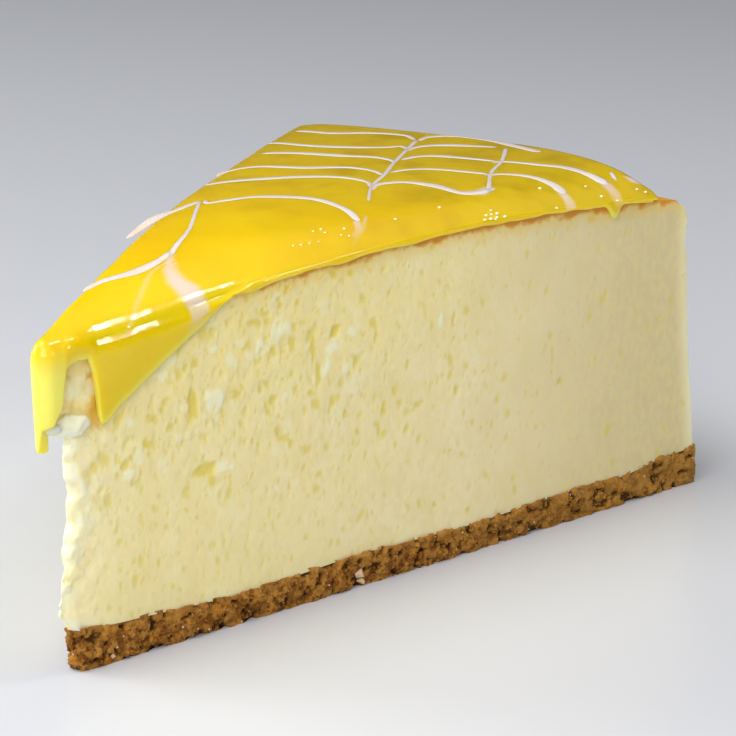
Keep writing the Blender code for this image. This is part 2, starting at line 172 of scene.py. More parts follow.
# The same long bumps that the solid has: sines that run in drawn directions.
def bumps(points, size, seed, waves=9):
    draw = np.random.default_rng(seed)
    total = np.zeros(points.shape[:-1])
    for wave in range(waves):
        way = draw.normal(size=3)
        way /= np.linalg.norm(way)
        turn = points @ way * math.pi / size * draw.uniform(0.7, 1.4)
        total += np.sin(turn + draw.uniform(0, 2 * math.pi))
    return np.clip(0.5 + total / waves, 0, 1)


# A field of pits on a flat face. The face is cut into cells, and each may hold one pit with
# its own middle, size and lean. The depth at a point is 1 - (distance / radius)^3 of the
# nearest of the pits in its own cell and the eight round it, and nothing outside them.
def pitField(along, up, cell, radius, stretch, chance, seed):
    column, row = np.floor(along / cell), np.floor(up / (cell * stretch))
    deepest = np.zeros(along.shape)
    for step in np.ndindex(3, 3):
        home = np.stack([column + step[0] - 1, row + step[1] - 1, np.zeros(along.shape)], -1)
        middleAlong = (home[..., 0] + 0.2 + 0.6 * scatter(home, seed)) * cell
        middleUp = (home[..., 1] + 0.2 + 0.6 * scatter(home, seed + 1)) * cell * stretch
        size = radius[0] + (radius[1] - radius[0]) * scatter(home, seed + 2) ** 2
        tall = size * (1 + (stretch - 1) * 2 * scatter(home, seed + 3))
        rise = up - middleUp
        sideways = along - middleAlong - rise * 0.9 * (scatter(home, seed + 4) - 0.5)
        reach = np.abs(sideways / size) ** 3 + np.abs(rise / tall) ** 3
        there = scatter(home, seed + 5) < chance
        deepest = np.maximum(deepest, np.where(there, np.clip(1 - reach, 0, 1), 0))
    return deepest


# Faces for a grid of rings that each run round, with a pole at both ends. From one ring to
# the next the surface runs up the outside, so that every face points outwards.
def closedGrid(rings):
    levels, count = rings.shape[:2]
    points = np.concatenate([rings.reshape(-1, 3), [rings[0].mean(0), rings[-1].mean(0)]])
    low = (np.arange(levels - 1)[:, None] * count + np.arange(count)).ravel()
    after = (np.arange(levels - 1)[:, None] * count + (np.arange(count) + 1) % count).ravel()
    quads = np.stack([low, after, after + count, low + count], 1)
    step = np.arange(count)
    following = (step + 1) % count
    top = (levels - 1) * count
    first, last = levels * count, levels * count + 1
    triangles = np.concatenate([
        np.stack([np.full(count, first), following, step], 1),
        np.stack([np.full(count, last), top + step, top + following], 1),
    ])
    return points, quads, triangles


# One mesh from several (points, quads, triangles), placed in metres. values holds numbers
# for each point, by attribute name.
def makePiece(name, parts, finish, node=None, values=None, sharp=None):
    points, quads, triangles, shift = [], [], [], 0
    for partPoints, partQuads, partTriangles in parts:
        points.append(partPoints)
        quads.append(np.reshape(partQuads, (-1, 4)) + shift)
        triangles.append(np.reshape(partTriangles, (-1, 3)) + shift)
        shift += len(partPoints)
    points = (np.concatenate(points) + [0, tipY, 0]) * mm
    quads, triangles = np.concatenate(quads), np.concatenate(triangles)
    starts = np.concatenate([np.arange(len(quads)) * 4, len(quads) * 4 + np.arange(len(triangles)) * 3])
    corners = np.concatenate([quads.ravel(), triangles.ravel()])
    mesh = bpy.data.meshes.new(name)
    mesh.vertices.add(len(points))
    mesh.vertices.foreach_set("co", points.astype(np.float32).ravel())
    mesh.loops.add(len(corners))
    mesh.loops.foreach_set("vertex_index", corners.astype(np.int32))
    mesh.polygons.add(len(starts))
    mesh.polygons.foreach_set("loop_start", starts.astype(np.int32))
    mesh.update(calc_edges=True)
    for key, numbers in (values or {}).items():
        layer = mesh.attributes.new(key, "FLOAT", "POINT")
        layer.data.foreach_set("value", numbers.astype(np.float32))
    mesh.shade_smooth()
    if sharp:
        mesh.set_sharp_from_angle(angle=math.radians(sharp))
    mesh.materials.append(finish)
    piece = bpy.data.objects.new(name, mesh)
    bpy.context.scene.collection.objects.link(piece)
    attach(piece, "root")
    if node:
        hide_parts(node)
    print(name, len(quads) * 2 + len(triangles), "triangles")


# Colours are given as a screen shows them, 0 to 255, and made linear.
def screen(red, green, blue):
    share = np.array([red, green, blue]) / 255
    linear = np.where(share <= 0.04045, share / 12.92, ((share + 0.055) / 1.055) ** 2.4)
    return (*linear.tolist(), 1.0)


# A node with its options, and its inputs given as numbers or as other nodes' outputs.
def addNode(tree, kind, inputs=None, **options):
    node = tree.nodes.new("ShaderNode" + kind)
    for key, value in options.items():
        setattr(node, key, value)
    for key, value in (inputs or {}).items():
        if isinstance(value, bpy.types.NodeSocket):
            tree.links.new(value, node.inputs[key])
        else:
            node.inputs[key].default_value = value
    return node


def mixed(tree, share, first, second):  # first where share is 0, second where 1
    return addNode(tree, "Mix", {0: share, 6: first, 7: second}, data_type="RGBA").outputs[2]


def ranged(tree, value, low, high, start=0.0, end=1.0):  # low to high becomes start to end
    node = addNode(tree, "MapRange", {"Value": value, "From Min": low, "From Max": high,
                                      "To Min": start, "To Max": end})
    return node.outputs["Result"]


def combined(tree, operation, first, second):
    return addNode(tree, "Math", {0: first, 1: second}, operation=operation).outputs[0]


def attribute(tree, name):
    return addNode(tree, "Attribute", attribute_name=name).outputs["Fac"]


def ownY(tree):
    return addNode(tree, "SeparateXYZ", {0: addNode(tree, "TexCoord").outputs["Object"]}).outputs["Y"]


# A noise in the object's own millimetres. size is the width of its blotches, and stretch
# makes them taller than wide.
def blotches(tree, size, detail=3.0, stretch=1.0):
    place = addNode(tree, "TexCoord").outputs["Object"]
    scaled = addNode(tree, "Mapping", {"Vector": place, "Scale": (1, 1, 1 / stretch)}).outputs[0]
    noise = addNode(tree, "TexNoise", {"Vector": scaled, "Scale": 1000 / size, "Detail": detail})
    return noise.outputs["Fac"]


# A second colour laid over the first in blotches, from none where their noise is low to most
# where it is high.
def blotched(tree, colour, over, size, detail, low, high, most=1.0, stretch=1.0):
    share = ranged(tree, blotches(tree, size, detail, stretch), low, high, 0, most)
    return mixed(tree, share, colour, over)


# The same by an attribute.
def marked(tree, colour, over, name, most=1.0, low=0, high=1):
    return mixed(tree, ranged(tree, attribute(tree, name), low, high, 0, most), colour, over)


def newFinish(name, **sockets):
    finish = bpy.data.materials.new(name)
    finish.use_nodes = True
    shader = finish.node_tree.nodes["Principled BSDF"]
    for key, value in sockets.items():
        shader.inputs[key.replace("_", " ")].default_value = value
    return finish, finish.node_tree, shader


def bumped(tree, shader, height, strength, depth):  # depth is in millimetres
    bump = addNode(tree, "Bump", {"Height": height, "Strength": strength, "Distance": depth * mm})
    tree.links.new(bump.outputs[0], shader.inputs["Normal"])


# Points on the near cut, from the reach along it and the height.
def onNearCut(reach, height, out=0.0):
    reach, height, out = np.broadcast_arrays(np.asarray(reach, float), height, out)
    return np.stack([reach * sinHalf + out * cosHalf, reach * cosHalf - out * sinHalf, height], -1)


filling = {
    "columns": {"near": 470, "rim": 80, "far": 166, "tip": 12},
    "sideRows": 92,
    "shoulderRows": 22,
    "shoulderShare": 0.1,  # the share of the height where the top edge turns in
    "shoulder": 4.2,  # how far it turns in
    "levels": (7, 40),  # lowest height and rise, by which the reaches of the rings are read
    "intoBase": 0.35,
    "tipHeights": [5, 7, 9, 13, 17, 23, 30, 33.5, 36, 46],
    "tipReaches": [3.6, 3.4, 2.0, 1.8, 3.2, 4.1, 4.0, 4.2, 1.2, 1.2],
    "raggedTip": 1.1,
    # noises that bite into the tip: strength, size, seed, octaves, threshold and width
    "tipBites": [(0.65, 2.0, 71, 3, 0.38, 0.24), (0.4, 0.9, 72, 2, 0.4, 0.2)],
    "bareBelow": 37,  # under the glaze's drips the tip is bare
    "relief": 0.22,
    "wallRelief": 0.15,
    "wallGrain": 0.25,
    "wallHoles": 0.35,
    "tipGrain": 0.45,
    "tipHoles": 0.4,
    "plainCorner": 2.5,  # the relief fades out over this much before the wall
    # how deep the cut is broken, where it is smooth and how much more where it crumbles
    "tornDepth": (0.02, 0.11),
    "flakeDepth": (0.01, 0.05),
    "pitDepth": (0.07, 0.16),
    "grainDepth": 0.05,
    "cutDepth": 0.1,
    "listedDepth": (0.1, 0.34),
    # pits of three sizes: cell, radius, stretch, chance where it is smooth, what crumbling
    # adds to it, seed and strength
    "pitSizes": [(4.4, (0.5, 1.05), 1.2, 0.0, 0.5, 20, 0.85), (2.2, (0.3, 0.68), 1.4, 0.18, 0.55, 30, 0.75),
                 (1.3, (0.22, 0.42), 1.8, 0.22, 0.38, 40, 0.5)],
    "ragged": 0.4,  # how far crumbs are missing from the two upright edges
    "warp": 0.6,  # how far a noise shifts the pits' outlines
    # pits that stand out: reach, height, half width, half height, lean, depth
    "pits": [
        (25.4, 34.6, 0.9, 2.3, -0.10, 1.1), (27.0, 24.5, 2.3, 1.0, 0.25, 1.0), (37.9, 45.5, 0.5, 0.7, 0, 0.7),
        (39.5, 39.4, 0.8, 0.8, 0, 0.9), (50.9, 40.2, 1.0, 1.2, 0.5, 1.1), (36.0, 44.3, 1.4, 0.7, -1.0, 0.7),
        (27.8, 44.7, 1.4, 1.6, 0, 0.6), (46.9, 38.6, 0.5, 2.2, 0.1, 0.7), (47.7, 34.6, 0.6, 2.0, -0.2, 0.8),
        (46.6, 31.8, 0.8, 0.7, -0.6, 0.7), (55.0, 34.9, 0.7, 1.3, 0.2, 0.7), (39.4, 32.3, 0.9, 0.8, 0.4, 0.8),
        (38.4, 31.0, 0.5, 1.3, -0.2, 0.7), (40.7, 26.9, 0.8, 1.2, -0.6, 0.9), (42.5, 25.1, 0.6, 0.6, 0, 0.7),
        (29.5, 30.5, 0.6, 1.2, -0.7, 0.8), (50.3, 29.8, 0.9, 0.6, 0.6, 0.6), (53.0, 27.2, 0.6, 0.7, 0, 0.8),
        (55.0, 24.3, 0.6, 0.5, 0, 0.7), (60.3, 26.8, 0.5, 1.4, 0, 0.8), (66.5, 25.8, 1.1, 0.7, 0.8, 0.7),
        (58.6, 37.7, 0.4, 1.1, 0, 0.7), (60.9, 34.6, 0.5, 1.0, 0, 0.7), (44.1, 45.8, 0.5, 0.9, 0.3, 0.7),
        (25.7, 40.1, 0.7, 0.6, 0, 0.7), (23.0, 39.2, 0.8, 1.3, -0.4, 0.7), (20.8, 40.8, 0.7, 0.8, 0, 0.6),
        (64.6, 22.7, 0.5, 1.0, 0, 0.7), (59.4, 23.5, 0.5, 1.2, 0, 0.7), (73.9, 37.6, 0.4, 1.4, 0, 0.6),
        (73.5, 30.9, 0.6, 1.6, -0.3, 0.6), (74.5, 26.7, 0.6, 0.6, 0, 0.7), (70.3, 9.5, 0.5, 0.5, 0, 0.8),
        (103.1, 38.9, 0.5, 0.4, 0, 0.7), (105.7, 35.7, 0.4, 1.2, 0, 0.5), (96.1, 23.4, 0.8, 0.5, 0.5, 0.7),
        (94.3, 27.9, 0.3, 1.0, 0, 0.5), (104.0, 26.0, 0.4, 0.5, 0, 0.5), (18.2, 33.9, 1.0, 0.8, -0.6, 0.9),
        (12.6, 35.0, 0.8, 1.8, 0.5, 0.8), (17.4, 30.2, 1.2, 0.7, -0.5, 0.8), (13.5, 28.4, 0.8, 0.8, 0, 0.8),
        (8.9, 28.7, 0.8, 0.8, 0, 0.8), (8.0, 27.2, 0.5, 1.1, 0, 0.8), (24.0, 22.0, 1.0, 1.0, 0, 0.6),
        (27.4, 45.0, 1.3, 1.2, 0, 0.6), (35.1, 40.9, 0.7, 1.1, 0, 0.7), (15.9, 24.7, 0.9, 1.2, -0.4, 0.7),
    ],
    # pale crumbs that stand proud of the cut: reach, height, half width, half height
    "crumbs": [
        (29.2, 34.4, 1.9, 2.1), (30.7, 24.2, 1.6, 0.8), (50.3, 37.6, 1.6, 1.5), (53.9, 39.6, 0.8, 0.8),
        (48.9, 35.0, 0.9, 1.6), (52.8, 34.2, 0.7, 0.9), (29.4, 41.9, 0.8, 0.8), (37.1, 40.7, 0.7, 0.9),
        (41.3, 42.6, 2.6, 1.1), (14.2, 26.9, 0.9, 0.8), (14.6, 33.8, 0.8, 0.7), (9.3, 27.2, 0.6, 0.9),
        (70.9, 38.0, 0.5, 1.3),
    ],
    "bumpSize": 8.0,
    "tipPlain": (0.6, 2.6),  # the cuts' relief begins this far behind the tip's start, over this much
    "tipDepth": 0.12,
    "tipBroken": (12, 9),  # the tip is broken up to this reach, less and less over this much
    "edgeBites": (1.1, 85, 3, 0.48, 0.14),  # size, seed, octaves, threshold and width
    "edgeReach": 0.8,
    # bands of colour, each from one reach or height on and over how much
    "skinBand": (26.0, 18.0),
    # the band towards the rim is partly baked colour and partly painted shade
    "outerBand": (66, 54),
    "amberBand": (8.9, 1.2),
    # the tip's pale edge is partly its own crumbled colour and partly painted light
    "tipFade": 3.2,  # how fast the pale edges fade
    # how fast the painted highlight along the rim's edge fades
    "rimHighlightFade": 0.9,
}


# Depth of the listed pits at each point: each is a leaning, squarish bowl, its own depth
# times (1 - (distance / radius)^3)^0.8. ragged is a noise about 0 that frays its edge.
def listedPits(reach, height, ragged):
    total = np.zeros(reach.shape)
    for middle, level, wide, tall, lean, depth in filling["pits"]:
        rise = height - level
        sideways = reach - middle - lean * rise
        distance = np.abs(sideways / wide) ** 3 + np.abs(rise / tall) ** 3 + 1.4 * ragged
        total = np.maximum(total, depth * np.clip(1 - distance, 0, 1) ** 0.8)
    return total


def listedCrumbs(reach, height, ragged):  # 0.75 on each listed pale crumb, falling to 0 at its edge
    total = np.zeros(reach.shape)
    for middle, level, wide, tall in filling["crumbs"]:
        distance = ((reach - middle) / wide) ** 2 + ((height - level) / tall) ** 2 + 2.4 * ragged
        total = np.maximum(total, 0.75 * smooth(1.2 * (1.1 - distance)))
    return total


# How far a cut face is sunk, in millimetres, and how much of that is an open pit. The face
# is broken in low steps where a noise passes a threshold, more so towards the tip and the
# top, and pits of three sizes lie over it. Two more noises shift the place of each point.
def cutRelief(reach, height, seed):
    place = np.stack([reach, np.full(reach.shape, float(seed)), height / 1.1], -1)
    crumbly = smooth((95 - reach) / 75) * (0.3 + 0.7 * smooth((height - 12) / 26))
    shifted = [value + filling["warp"] * 2 * (softNoise(place, 1.3, seed + extra, 2) - 0.5)
               for value, extra in ((reach, 60), (height, 65))]
    torn = smooth((softNoise(place, 2.6, seed, 3) - 0.54 + 0.05 * crumbly) / 0.1)
    flakes = patchy(place, 1.2, seed + 9, 3, 0.54, 0.12)
    opened = np.zeros(reach.shape)
    for cell, radius, stretch, chance, more, shift, strength in filling["pitSizes"]:
        field = pitField(*shifted, cell, radius, stretch, chance + more * crumbly, seed + shift)
        opened = np.maximum(opened, strength * field)
    tornDepth, flakeDepth, pitDepth = (low + extra * crumbly for low, extra in (
        filling["tornDepth"], filling["flakeDepth"], filling["pitDepth"]))
    sunk = tornDepth * torn + flakeDepth * flakes + filling["cutDepth"]
    sunk = sunk + opened**0.8 * pitDepth + filling["grainDepth"] * softNoise(place, 0.8, seed + 50, 2)
    return sunk, opened, torn, crumbly, *shifted


# The relief of the sides: broken cuts with the listed pits and crumbs, a plainer wall and a
# broken tip, all over long low bumps.
def fillingRelief(sides, distance, tip, kinds):
    up = sides[..., 2]
    near, far, rim = kinds == "near", kinds == "far", kinds == "rim"
    corner = smooth((distance.max(axis=1, keepdims=True) - distance) / filling["plainCorner"])
    sunk, opened, torn, crumbly, along, high = np.zeros((6, *up.shape))
    for side, seed in ((near, 3), (far, 503)):
        values = cutRelief(distance[:, side], up[:, side], seed)
        for target, value in zip((sunk, opened, torn, crumbly, along, high), values):
            target[:, side] = value
    ragged = softNoise(sides[:, near], 0.9, 33, 2) - 0.5
    deep = listedPits(along[:, near], high[:, near], ragged)
    pale = np.zeros(up.shape)
    pale[:, near] = listedCrumbs(along[:, near], high[:, near], ragged)
    least, more = filling["listedDepth"]
    sunk[:, near] = np.maximum(sunk[:, near], least + more * deep) * (1 - 0.8 * pale[:, near])
    opened[:, near] = np.maximum(opened[:, near], 0.9 * smooth(deep / 0.8)) * (1 - pale[:, near])
    behind, over = filling["tipPlain"]
    atTip = 1 - smooth((distance - tip[:, None] - behind) / over)
    sunk = np.where(rim, 0, sunk + (filling["tipDepth"] - sunk) * atTip) * corner
    bumpy = np.where(rim, filling["wallRelief"], filling["relief"])
    sunk = sunk + bumpy * bumps(sides, filling["bumpSize"], 23)
    wallPlace = sides * [1, 1, 0.6]
    sunk = sunk + rim * (filling["wallGrain"] * softNoise(wallPlace, 1.4, 77, 3)
                         + filling["wallHoles"] * patchy(sides, 2.2, 78, 2, 0.62, 0.08))
    broken = filling["tipGrain"] * softNoise(sides, 1.5, 79, 3)
    broken = broken + filling["tipHoles"] * patchy(sides, 1.6, 80, 2, 0.45, 0.15)
    reach, over = filling["tipBroken"]
    return sunk + smooth((reach - distance) / over) * broken, opened, torn, crumbly, pale


# What the colours need at each point: its depth under the top, how browned, pale, amber or rich it is, and
# how far out it lies. Pale is partly painted light at the tip's and the rim's edges, and far out it is
# darker, partly as painted shade.
def fillingMarks(sides, distance, tip, kinds, opened, torn, crumbly, pale):
    up, near, rim = sides[..., 2], kinds == "near", kinds == "rim"
    start, length = filling["skinBand"]
    baked = smooth((distance - start) / length)
    depth = (fillingHeight(distance) - up) * np.where(rim, 0.35, 1)
    # paler towards the tip below the drips: partly the crumbled edge's own colour, partly painted light where
    # the lamps catch it
    behind = np.clip(distance - tip[:, None] - filling["tipPlain"][0], 0, None)
    edge = np.exp(-behind / filling["tipFade"]) * (0.5 + 0.5 * patchy(sides, 1.8, 95, 2, 0.42, 0.16))
    pale = np.maximum(pale, edge * smooth((filling["bareBelow"] - up) / 3))
    toWall = wallReach(up) - distance
    # painted highlight: a pale band up the near cut's edge by the wall, where light catches it
    edge = near * 0.6 * np.exp(-np.clip(toWall, 0, None) / filling["rimHighlightFade"])
    pale = np.maximum(pale, edge * smooth((36 - up) / 10))
    pale = np.maximum(pale, 0.55 * crumbly * (1 - torn) * patchy(sides, 1.9, 93, 2, 0.6, 0.1))
    # darker towards the rim: partly a baked edge's own colour, partly painted shade where the light falls off
    start, length = filling["outerBand"]
    outer = smooth((distance - start) / length) * smooth(toWall / 3)
    middle, width = filling["amberBand"]
    amber = np.exp(-((distance - middle - 0.3 * np.sin(up)) / width) ** 2) * smooth((up - 33.5) / 2) * near
    rich = smooth((100 - distance) / 90) * 0.5 + 0.5 * smooth((up - 26) / 18) * smooth((105 - distance) / 50)
    return {"hollow": opened, "torn": torn * crumbly, "depth": depth, "baked": baked, "pale": pale,
            "amber": amber, "rich": rich, "open": 0.25 + 0.75 * crumbly, "wall": rim * np.ones(up.shape),
            "outer": outer}


# The filling as one closed body: rings up its sides, each following the outline at its
# height, with caps that shrink to the heart. Relief only ever goes inwards.
def makeFilling(finish):
    columns = filling["columns"]
    turnStart = 1 - filling["shoulderShare"]
    shares = np.concatenate([np.linspace(0, turnStart, filling["sideRows"]),
                             np.linspace(turnStart, 1, filling["shoulderRows"] + 1)[1:]])
    lowest, rise = filling["levels"]
    height = lowest + shares * rise
    tip = np.interp(height, filling["tipHeights"], filling["tipReaches"])
    level = np.stack([np.zeros(len(height)), np.zeros(len(height)), height], -1)
    bitten = sum(strength * patchy(level, *noise) for strength, *noise in filling["tipBites"])
    tip = tip + filling["raggedTip"] * bitten * smooth((filling["bareBelow"] - height) / 2)
    turned = np.clip((shares - turnStart) / filling["shoulderShare"], 0, 1)
    inset = filling["shoulder"] * (1 - np.sqrt(1 - turned**2 * 0.999))
    flat, ways, kinds = sliceOutline(tip, wallReach(height) - inset, columns)
    distance = np.hypot(flat[..., 0], flat[..., 1])
    low = seamHeight(distance) - filling["intoBase"]
    up = low + shares[:, None] * (fillingHeight(distance) - low)
    sides = np.concatenate([flat, up[..., None]], -1)
    sunk, *relief = fillingRelief(sides, distance, tip, kinds)
    out = flat / np.linalg.norm(flat, axis=-1, keepdims=True)
    for column in (columns["near"] - 1, columns["near"] + columns["rim"]):  # bites from the upright edges
        gap = np.linalg.norm(flat - flat[:, column, None], axis=-1)
        missing = patchy(sides, *filling["edgeBites"]) * np.exp(-gap / filling["edgeReach"])
        missing = missing * (0.25 + 0.75 * smooth((up - 26) / 12))
        sides[..., :2] -= out * (filling["ragged"] * missing)[..., None]
    sides[..., :2] -= ways * sunk[..., None]
    marks = fillingMarks(sides, distance, tip, kinds, *relief)
    heart = np.array([*cake["heart"], 0])
    bottom = [np.concatenate([heart[:2] + share * (sides[0, :, :2] - heart[:2]), sides[0, :, 2:]], -1)
              for share in (0.3, 0.7, 0.97)]
    lid = []
    for share in (0.99, 0.975, 0.95, 0.9, 0.7, 0.4, 0.15):
        inner = heart[:2] + share * (sides[-1, :, :2] - heart[:2])
        lid.append(np.column_stack([inner, fillingHeight(np.hypot(inner[:, 0], inner[:, 1]))]))
    rings = np.concatenate([bottom, sides, lid])
    ends = {"depth": (9, 0), "baked": (0, 1)}  # on the two caps, where it isn't 0
    values = {}
    for name, mark in marks.items():
        under, over = ends.get(name, (0, 0))
        mark = np.pad(mark, ((len(bottom), len(lid)), (0, 0)), constant_values=((under, over), (0, 0)))
        values[name] = np.append(mark.ravel(), [under, over])
    makePiece("baked_filling", [closedGrid(rings)], finish,
              "cheese_filling", values, sharp=62)


fillingLooks = {
    "cream": screen(247, 235, 192),
    "deepCream": screen(243, 228, 176),
    "rich": screen(248, 230, 156),
    # pits and pores: partly the filling's own colour, partly painted shade of the hollows
    "pit": screen(228, 208, 84),
    "mottle": screen(236, 222, 158),
    "torn": screen(243, 229, 170),
    # pale also serves as painted light on the tip's edge and as a painted highlight on the rim's edge
    "pale": screen(246, 250, 226),
    "skin": screen(214, 134, 0),
    "glow": screen(240, 196, 40),
    "amber": screen(222, 172, 36),
    "wall": screen(232, 214, 150),
    # towards the rim: partly baked colour, partly painted shade
    "outer": screen(216, 200, 148),
    # the browned layers under the top: colour, the depths where each starts and is full, and
    # its greatest share
    "layers": [("glow", 2.8, 0.3, 0.6), ("skin", 1.1, 0.4, 0.85)],
    "surface": {"Roughness": 0.5, "Subsurface_Weight": 0.4, "Subsurface_Radius": (1.0, 0.75, 0.35),
                "Subsurface_Scale": 0.0018, "Specular_IOR_Level": 0.3},
}


# Soft pores: the middles of warped cells, where a slower noise allows them.
def pores(tree, size, stretch, reach):
    place = addNode(tree, "TexCoord").outputs["Object"]
    shove = addNode(tree, "TexNoise", {"Vector": place, "Scale": 1000 / (1.1 * size), "Detail": 2})
    moved = addNode(tree, "VectorMath", {0: shove.outputs["Color"], 1: (0.9 * size * mm,) * 3, 2: place},
                    operation="MULTIPLY_ADD")
    scaled = addNode(tree, "Mapping", {"Vector": moved.outputs[0], "Scale": (1, 1, 1 / stretch)}).outputs[0]
    gap = addNode(tree, "TexVoronoi", {"Vector": scaled, "Scale": 1000 / size}).outputs["Distance"]
    allowed = ranged(tree, blotches(tree, 2.1 * size, 1, 1.4), 0.44, 0.56)
    inside = ranged(tree, gap, 1.2 * reach, 0.1 * reach)
    return combined(tree, "MULTIPLY", inside, allowed)


# Cream with soft blotches, yellower where the cut is broken or a pore opens (in pits and pores partly painted
# shade), paler on the crumbs that stand out and, as painted light, along the tip's and the rim's edges,
# darker towards the rim (partly painted shade), and browned where the top skin was baked.
def fillingFinish():
    looks = fillingLooks
    finish, tree, shader = newFinish("baked filling", **looks["surface"])
    colour = blotched(tree, looks["cream"], looks["deepCream"], 5.0, 2, 0.35, 0.65, stretch=1.6)
    colour = mixed(tree, attribute(tree, "rich"), colour, looks["rich"])
    colour = marked(tree, colour, looks["torn"], "torn", 0.6)
    sunk = combined(tree, "MAXIMUM", pores(tree, 0.95, 1.7, 0.3), pores(tree, 1.9, 1.6, 0.24))
    sunk = combined(tree, "MULTIPLY", sunk, attribute(tree, "open"))
    # darker towards the rim, partly as painted shade
    colour = marked(tree, colour, looks["outer"], "outer", 0.75)
    colour = blotched(tree, colour, looks["mottle"], 1.2, 3, 0.42, 0.64, 0.42, 1.4)
    # pores and pits turn yellower and darker: partly own colour, partly painted shade in the hollows
    colour = mixed(tree, ranged(tree, sunk, 0, 1, 0, 0.45), colour, looks["pit"])
    colour = marked(tree, colour, looks["pit"], "hollow", 0.85, 0.02)
    colour = marked(tree, colour, looks["amber"], "amber", 0.9)
    # pale: the crumbs' own colour, and painted light on the tip's and the rim's edges
    colour = marked(tree, colour, looks["pale"], "pale", 0.75)
    colour = marked(tree, colour, looks["wall"], "wall", 0.5)
    uneven = ranged(tree, blotches(tree, 2.4, 3), 0.35, 0.65, 0.5, -0.5)
    depth = combined(tree, "ADD", attribute(tree, "depth"), uneven)
    for key, begin, full, most in looks["layers"]:
        layer = ranged(tree, depth, begin, full, 0, most)
        colour = mixed(tree, combined(tree, "MULTIPLY", layer, attribute(tree, "baked")), colour, looks[key])
    tree.links.new(colour, shader.inputs["Base Color"])
    grain = ranged(tree, blotches(tree, 0.7, 3, 1.3), 0, 1, 0, 0.45)
    bumped(tree, shader, combined(tree, "SUBTRACT", grain, sunk), 0.4, 0.2)
    return finish


makeFilling(fillingFinish())


base = {
    "columns": {"near": 420, "rim": 170, "far": 330, "tip": 24},
    "tip": 4.8,
    "rows": 18,
    "height": 4,  # by which the wall's reach is read
    "ragged": 0.9,  # how uneven the seam is
    "relief": 0.8,
    "grit": 0.8,
    "holes": 0.7,
    "topEdge": 0.2,  # how far the upper edge is drawn in
    "lowEdge": 0.25,  # the same for the lower one
    "bumpSize": 3.2,
    "furthest": 0.55,  # nothing stands out further than this
    "swell": 0.35,  # how far the near side stands out in its middle
    "crumbs": 3400,
    "crumbSize": (0.22, 0.52),
    "crumbSunk": 0.35,  # the share of its size by which a crumb is set into the side
    "grains": 60,
    "grainSize": (0.12, 0.24),
    # bright sugar crystals: reach, height, size
    "crystals": [(55.2, 2.2, 0.95), (55.6, 0.8, 0.7), (50.8, 0.9, 0.45), (53.0, 0.6, 0.5), (24.5, 3.6, 0.4),
                 (10.6, 1.0, 0.45), (30.4, 2.8, 0.35)],
}


# The pressed base: a flat underside, sides of crumb relief and a top that follows the seam.
def baseRings():
    shares = np.linspace(0, 1, base["rows"])
    reaches = wallReach(base["height"] * shares)
    flat, ways, kinds = sliceOutline(np.full(len(shares), base["tip"]), reaches, base["columns"])
    distance = np.hypot(flat[..., 0], flat[..., 1])
    ragged = base["ragged"] * (softNoise(np.concatenate([flat, 0 * flat[..., :1]], -1), 1.7, 41, 3) - 0.5)
    up = shares[:, None] * (seamHeight(distance) + ragged)
    sides = np.concatenate([flat, up[..., None]], -1)
    lumps = base["relief"] * (bumps(sides, base["bumpSize"], 11) - 0.55)
    grit = base["grit"] * (softNoise(sides, 1.5, 43, 3) - 0.62)
    grit = grit - base["holes"] * patchy(sides, 1.2, 44, 2, 0.56, 0.1)
    rounded = base["lowEdge"] * (1 - smooth(up / 1.3))
    rounded = rounded + base["topEdge"] * smooth((shares[:, None] - 0.88) / 0.12)
    out = lumps * smooth(up / 0.8) * smooth((1.02 - shares[:, None]) / 0.1) + grit - rounded
    swell = base["swell"] * np.sin(math.pi * np.clip(distance / cake["rim"], 0, 1))
    out = np.minimum(out + swell * (kinds == "near"), base["furthest"])
    sides[..., :2] += ways * out[..., None]
    # painted shade: the deeper the grit sinks, the darker its colour
    gapShade = smooth(-grit / 0.7)
    return sides, ways, gapShade


# Many small faceted crumbs: the same rough solid at drawn places, sizes and turns, as
# middle + turn x size x corner. Turns come from drawn quaternions.
def scattered(middles, sizes, corners, faces, draw, rough=0.25, squash=1.0):
    count = len(middles)
    q = draw.normal(size=(count, 4))
    w, x, y, z = (q / np.linalg.norm(q, axis=1, keepdims=True)).T
    turns = np.stack([
        1 - 2 * (y * y + z * z), 2 * (x * y - z * w), 2 * (x * z + y * w),
        2 * (x * y + z * w), 1 - 2 * (x * x + z * z), 2 * (y * z - x * w),
        2 * (x * z - y * w), 2 * (y * z + x * w), 1 - 2 * (x * x + y * y)], -1).reshape(count, 3, 3)
    shapes = corners * [1, 1, squash] * (1 + rough * draw.normal(size=(count, len(corners), 1)))
    placed = middles[:, None] + np.einsum("nij,nkj->nki", turns, shapes) * sizes[:, None, None]
    shift = np.arange(count)[:, None, None] * len(corners)
    return placed.reshape(-1, 3), np.empty((0, 4), int), (faces + shift).reshape(-1, 3)


# A twenty-sided solid: the golden ratio's three crossed oblongs.
def roughBall():
    golden = (1 + 5**0.5) / 2
    corners = np.array([(-1, golden, 0), (1, golden, 0), (-1, -golden, 0), (1, -golden, 0),
                        (0, -1, golden), (0, 1, golden), (0, -1, -golden), (0, 1, -golden),
                        (golden, 0, -1), (golden, 0, 1), (-golden, 0, -1), (-golden, 0, 1)])
    faces = np.array([(0, 11, 5), (0, 5, 1), (0, 1, 7), (0, 7, 10), (0, 10, 11), (1, 5, 9), (5, 11, 4),
                      (11, 10, 2), (10, 7, 6), (7, 1, 8), (3, 9, 4), (3, 4, 2), (3, 2, 6), (3, 6, 8),
                      (3, 8, 9), (4, 9, 5), (2, 4, 11), (6, 2, 10), (8, 6, 7), (9, 8, 1)])
    return corners / math.hypot(1, golden), faces


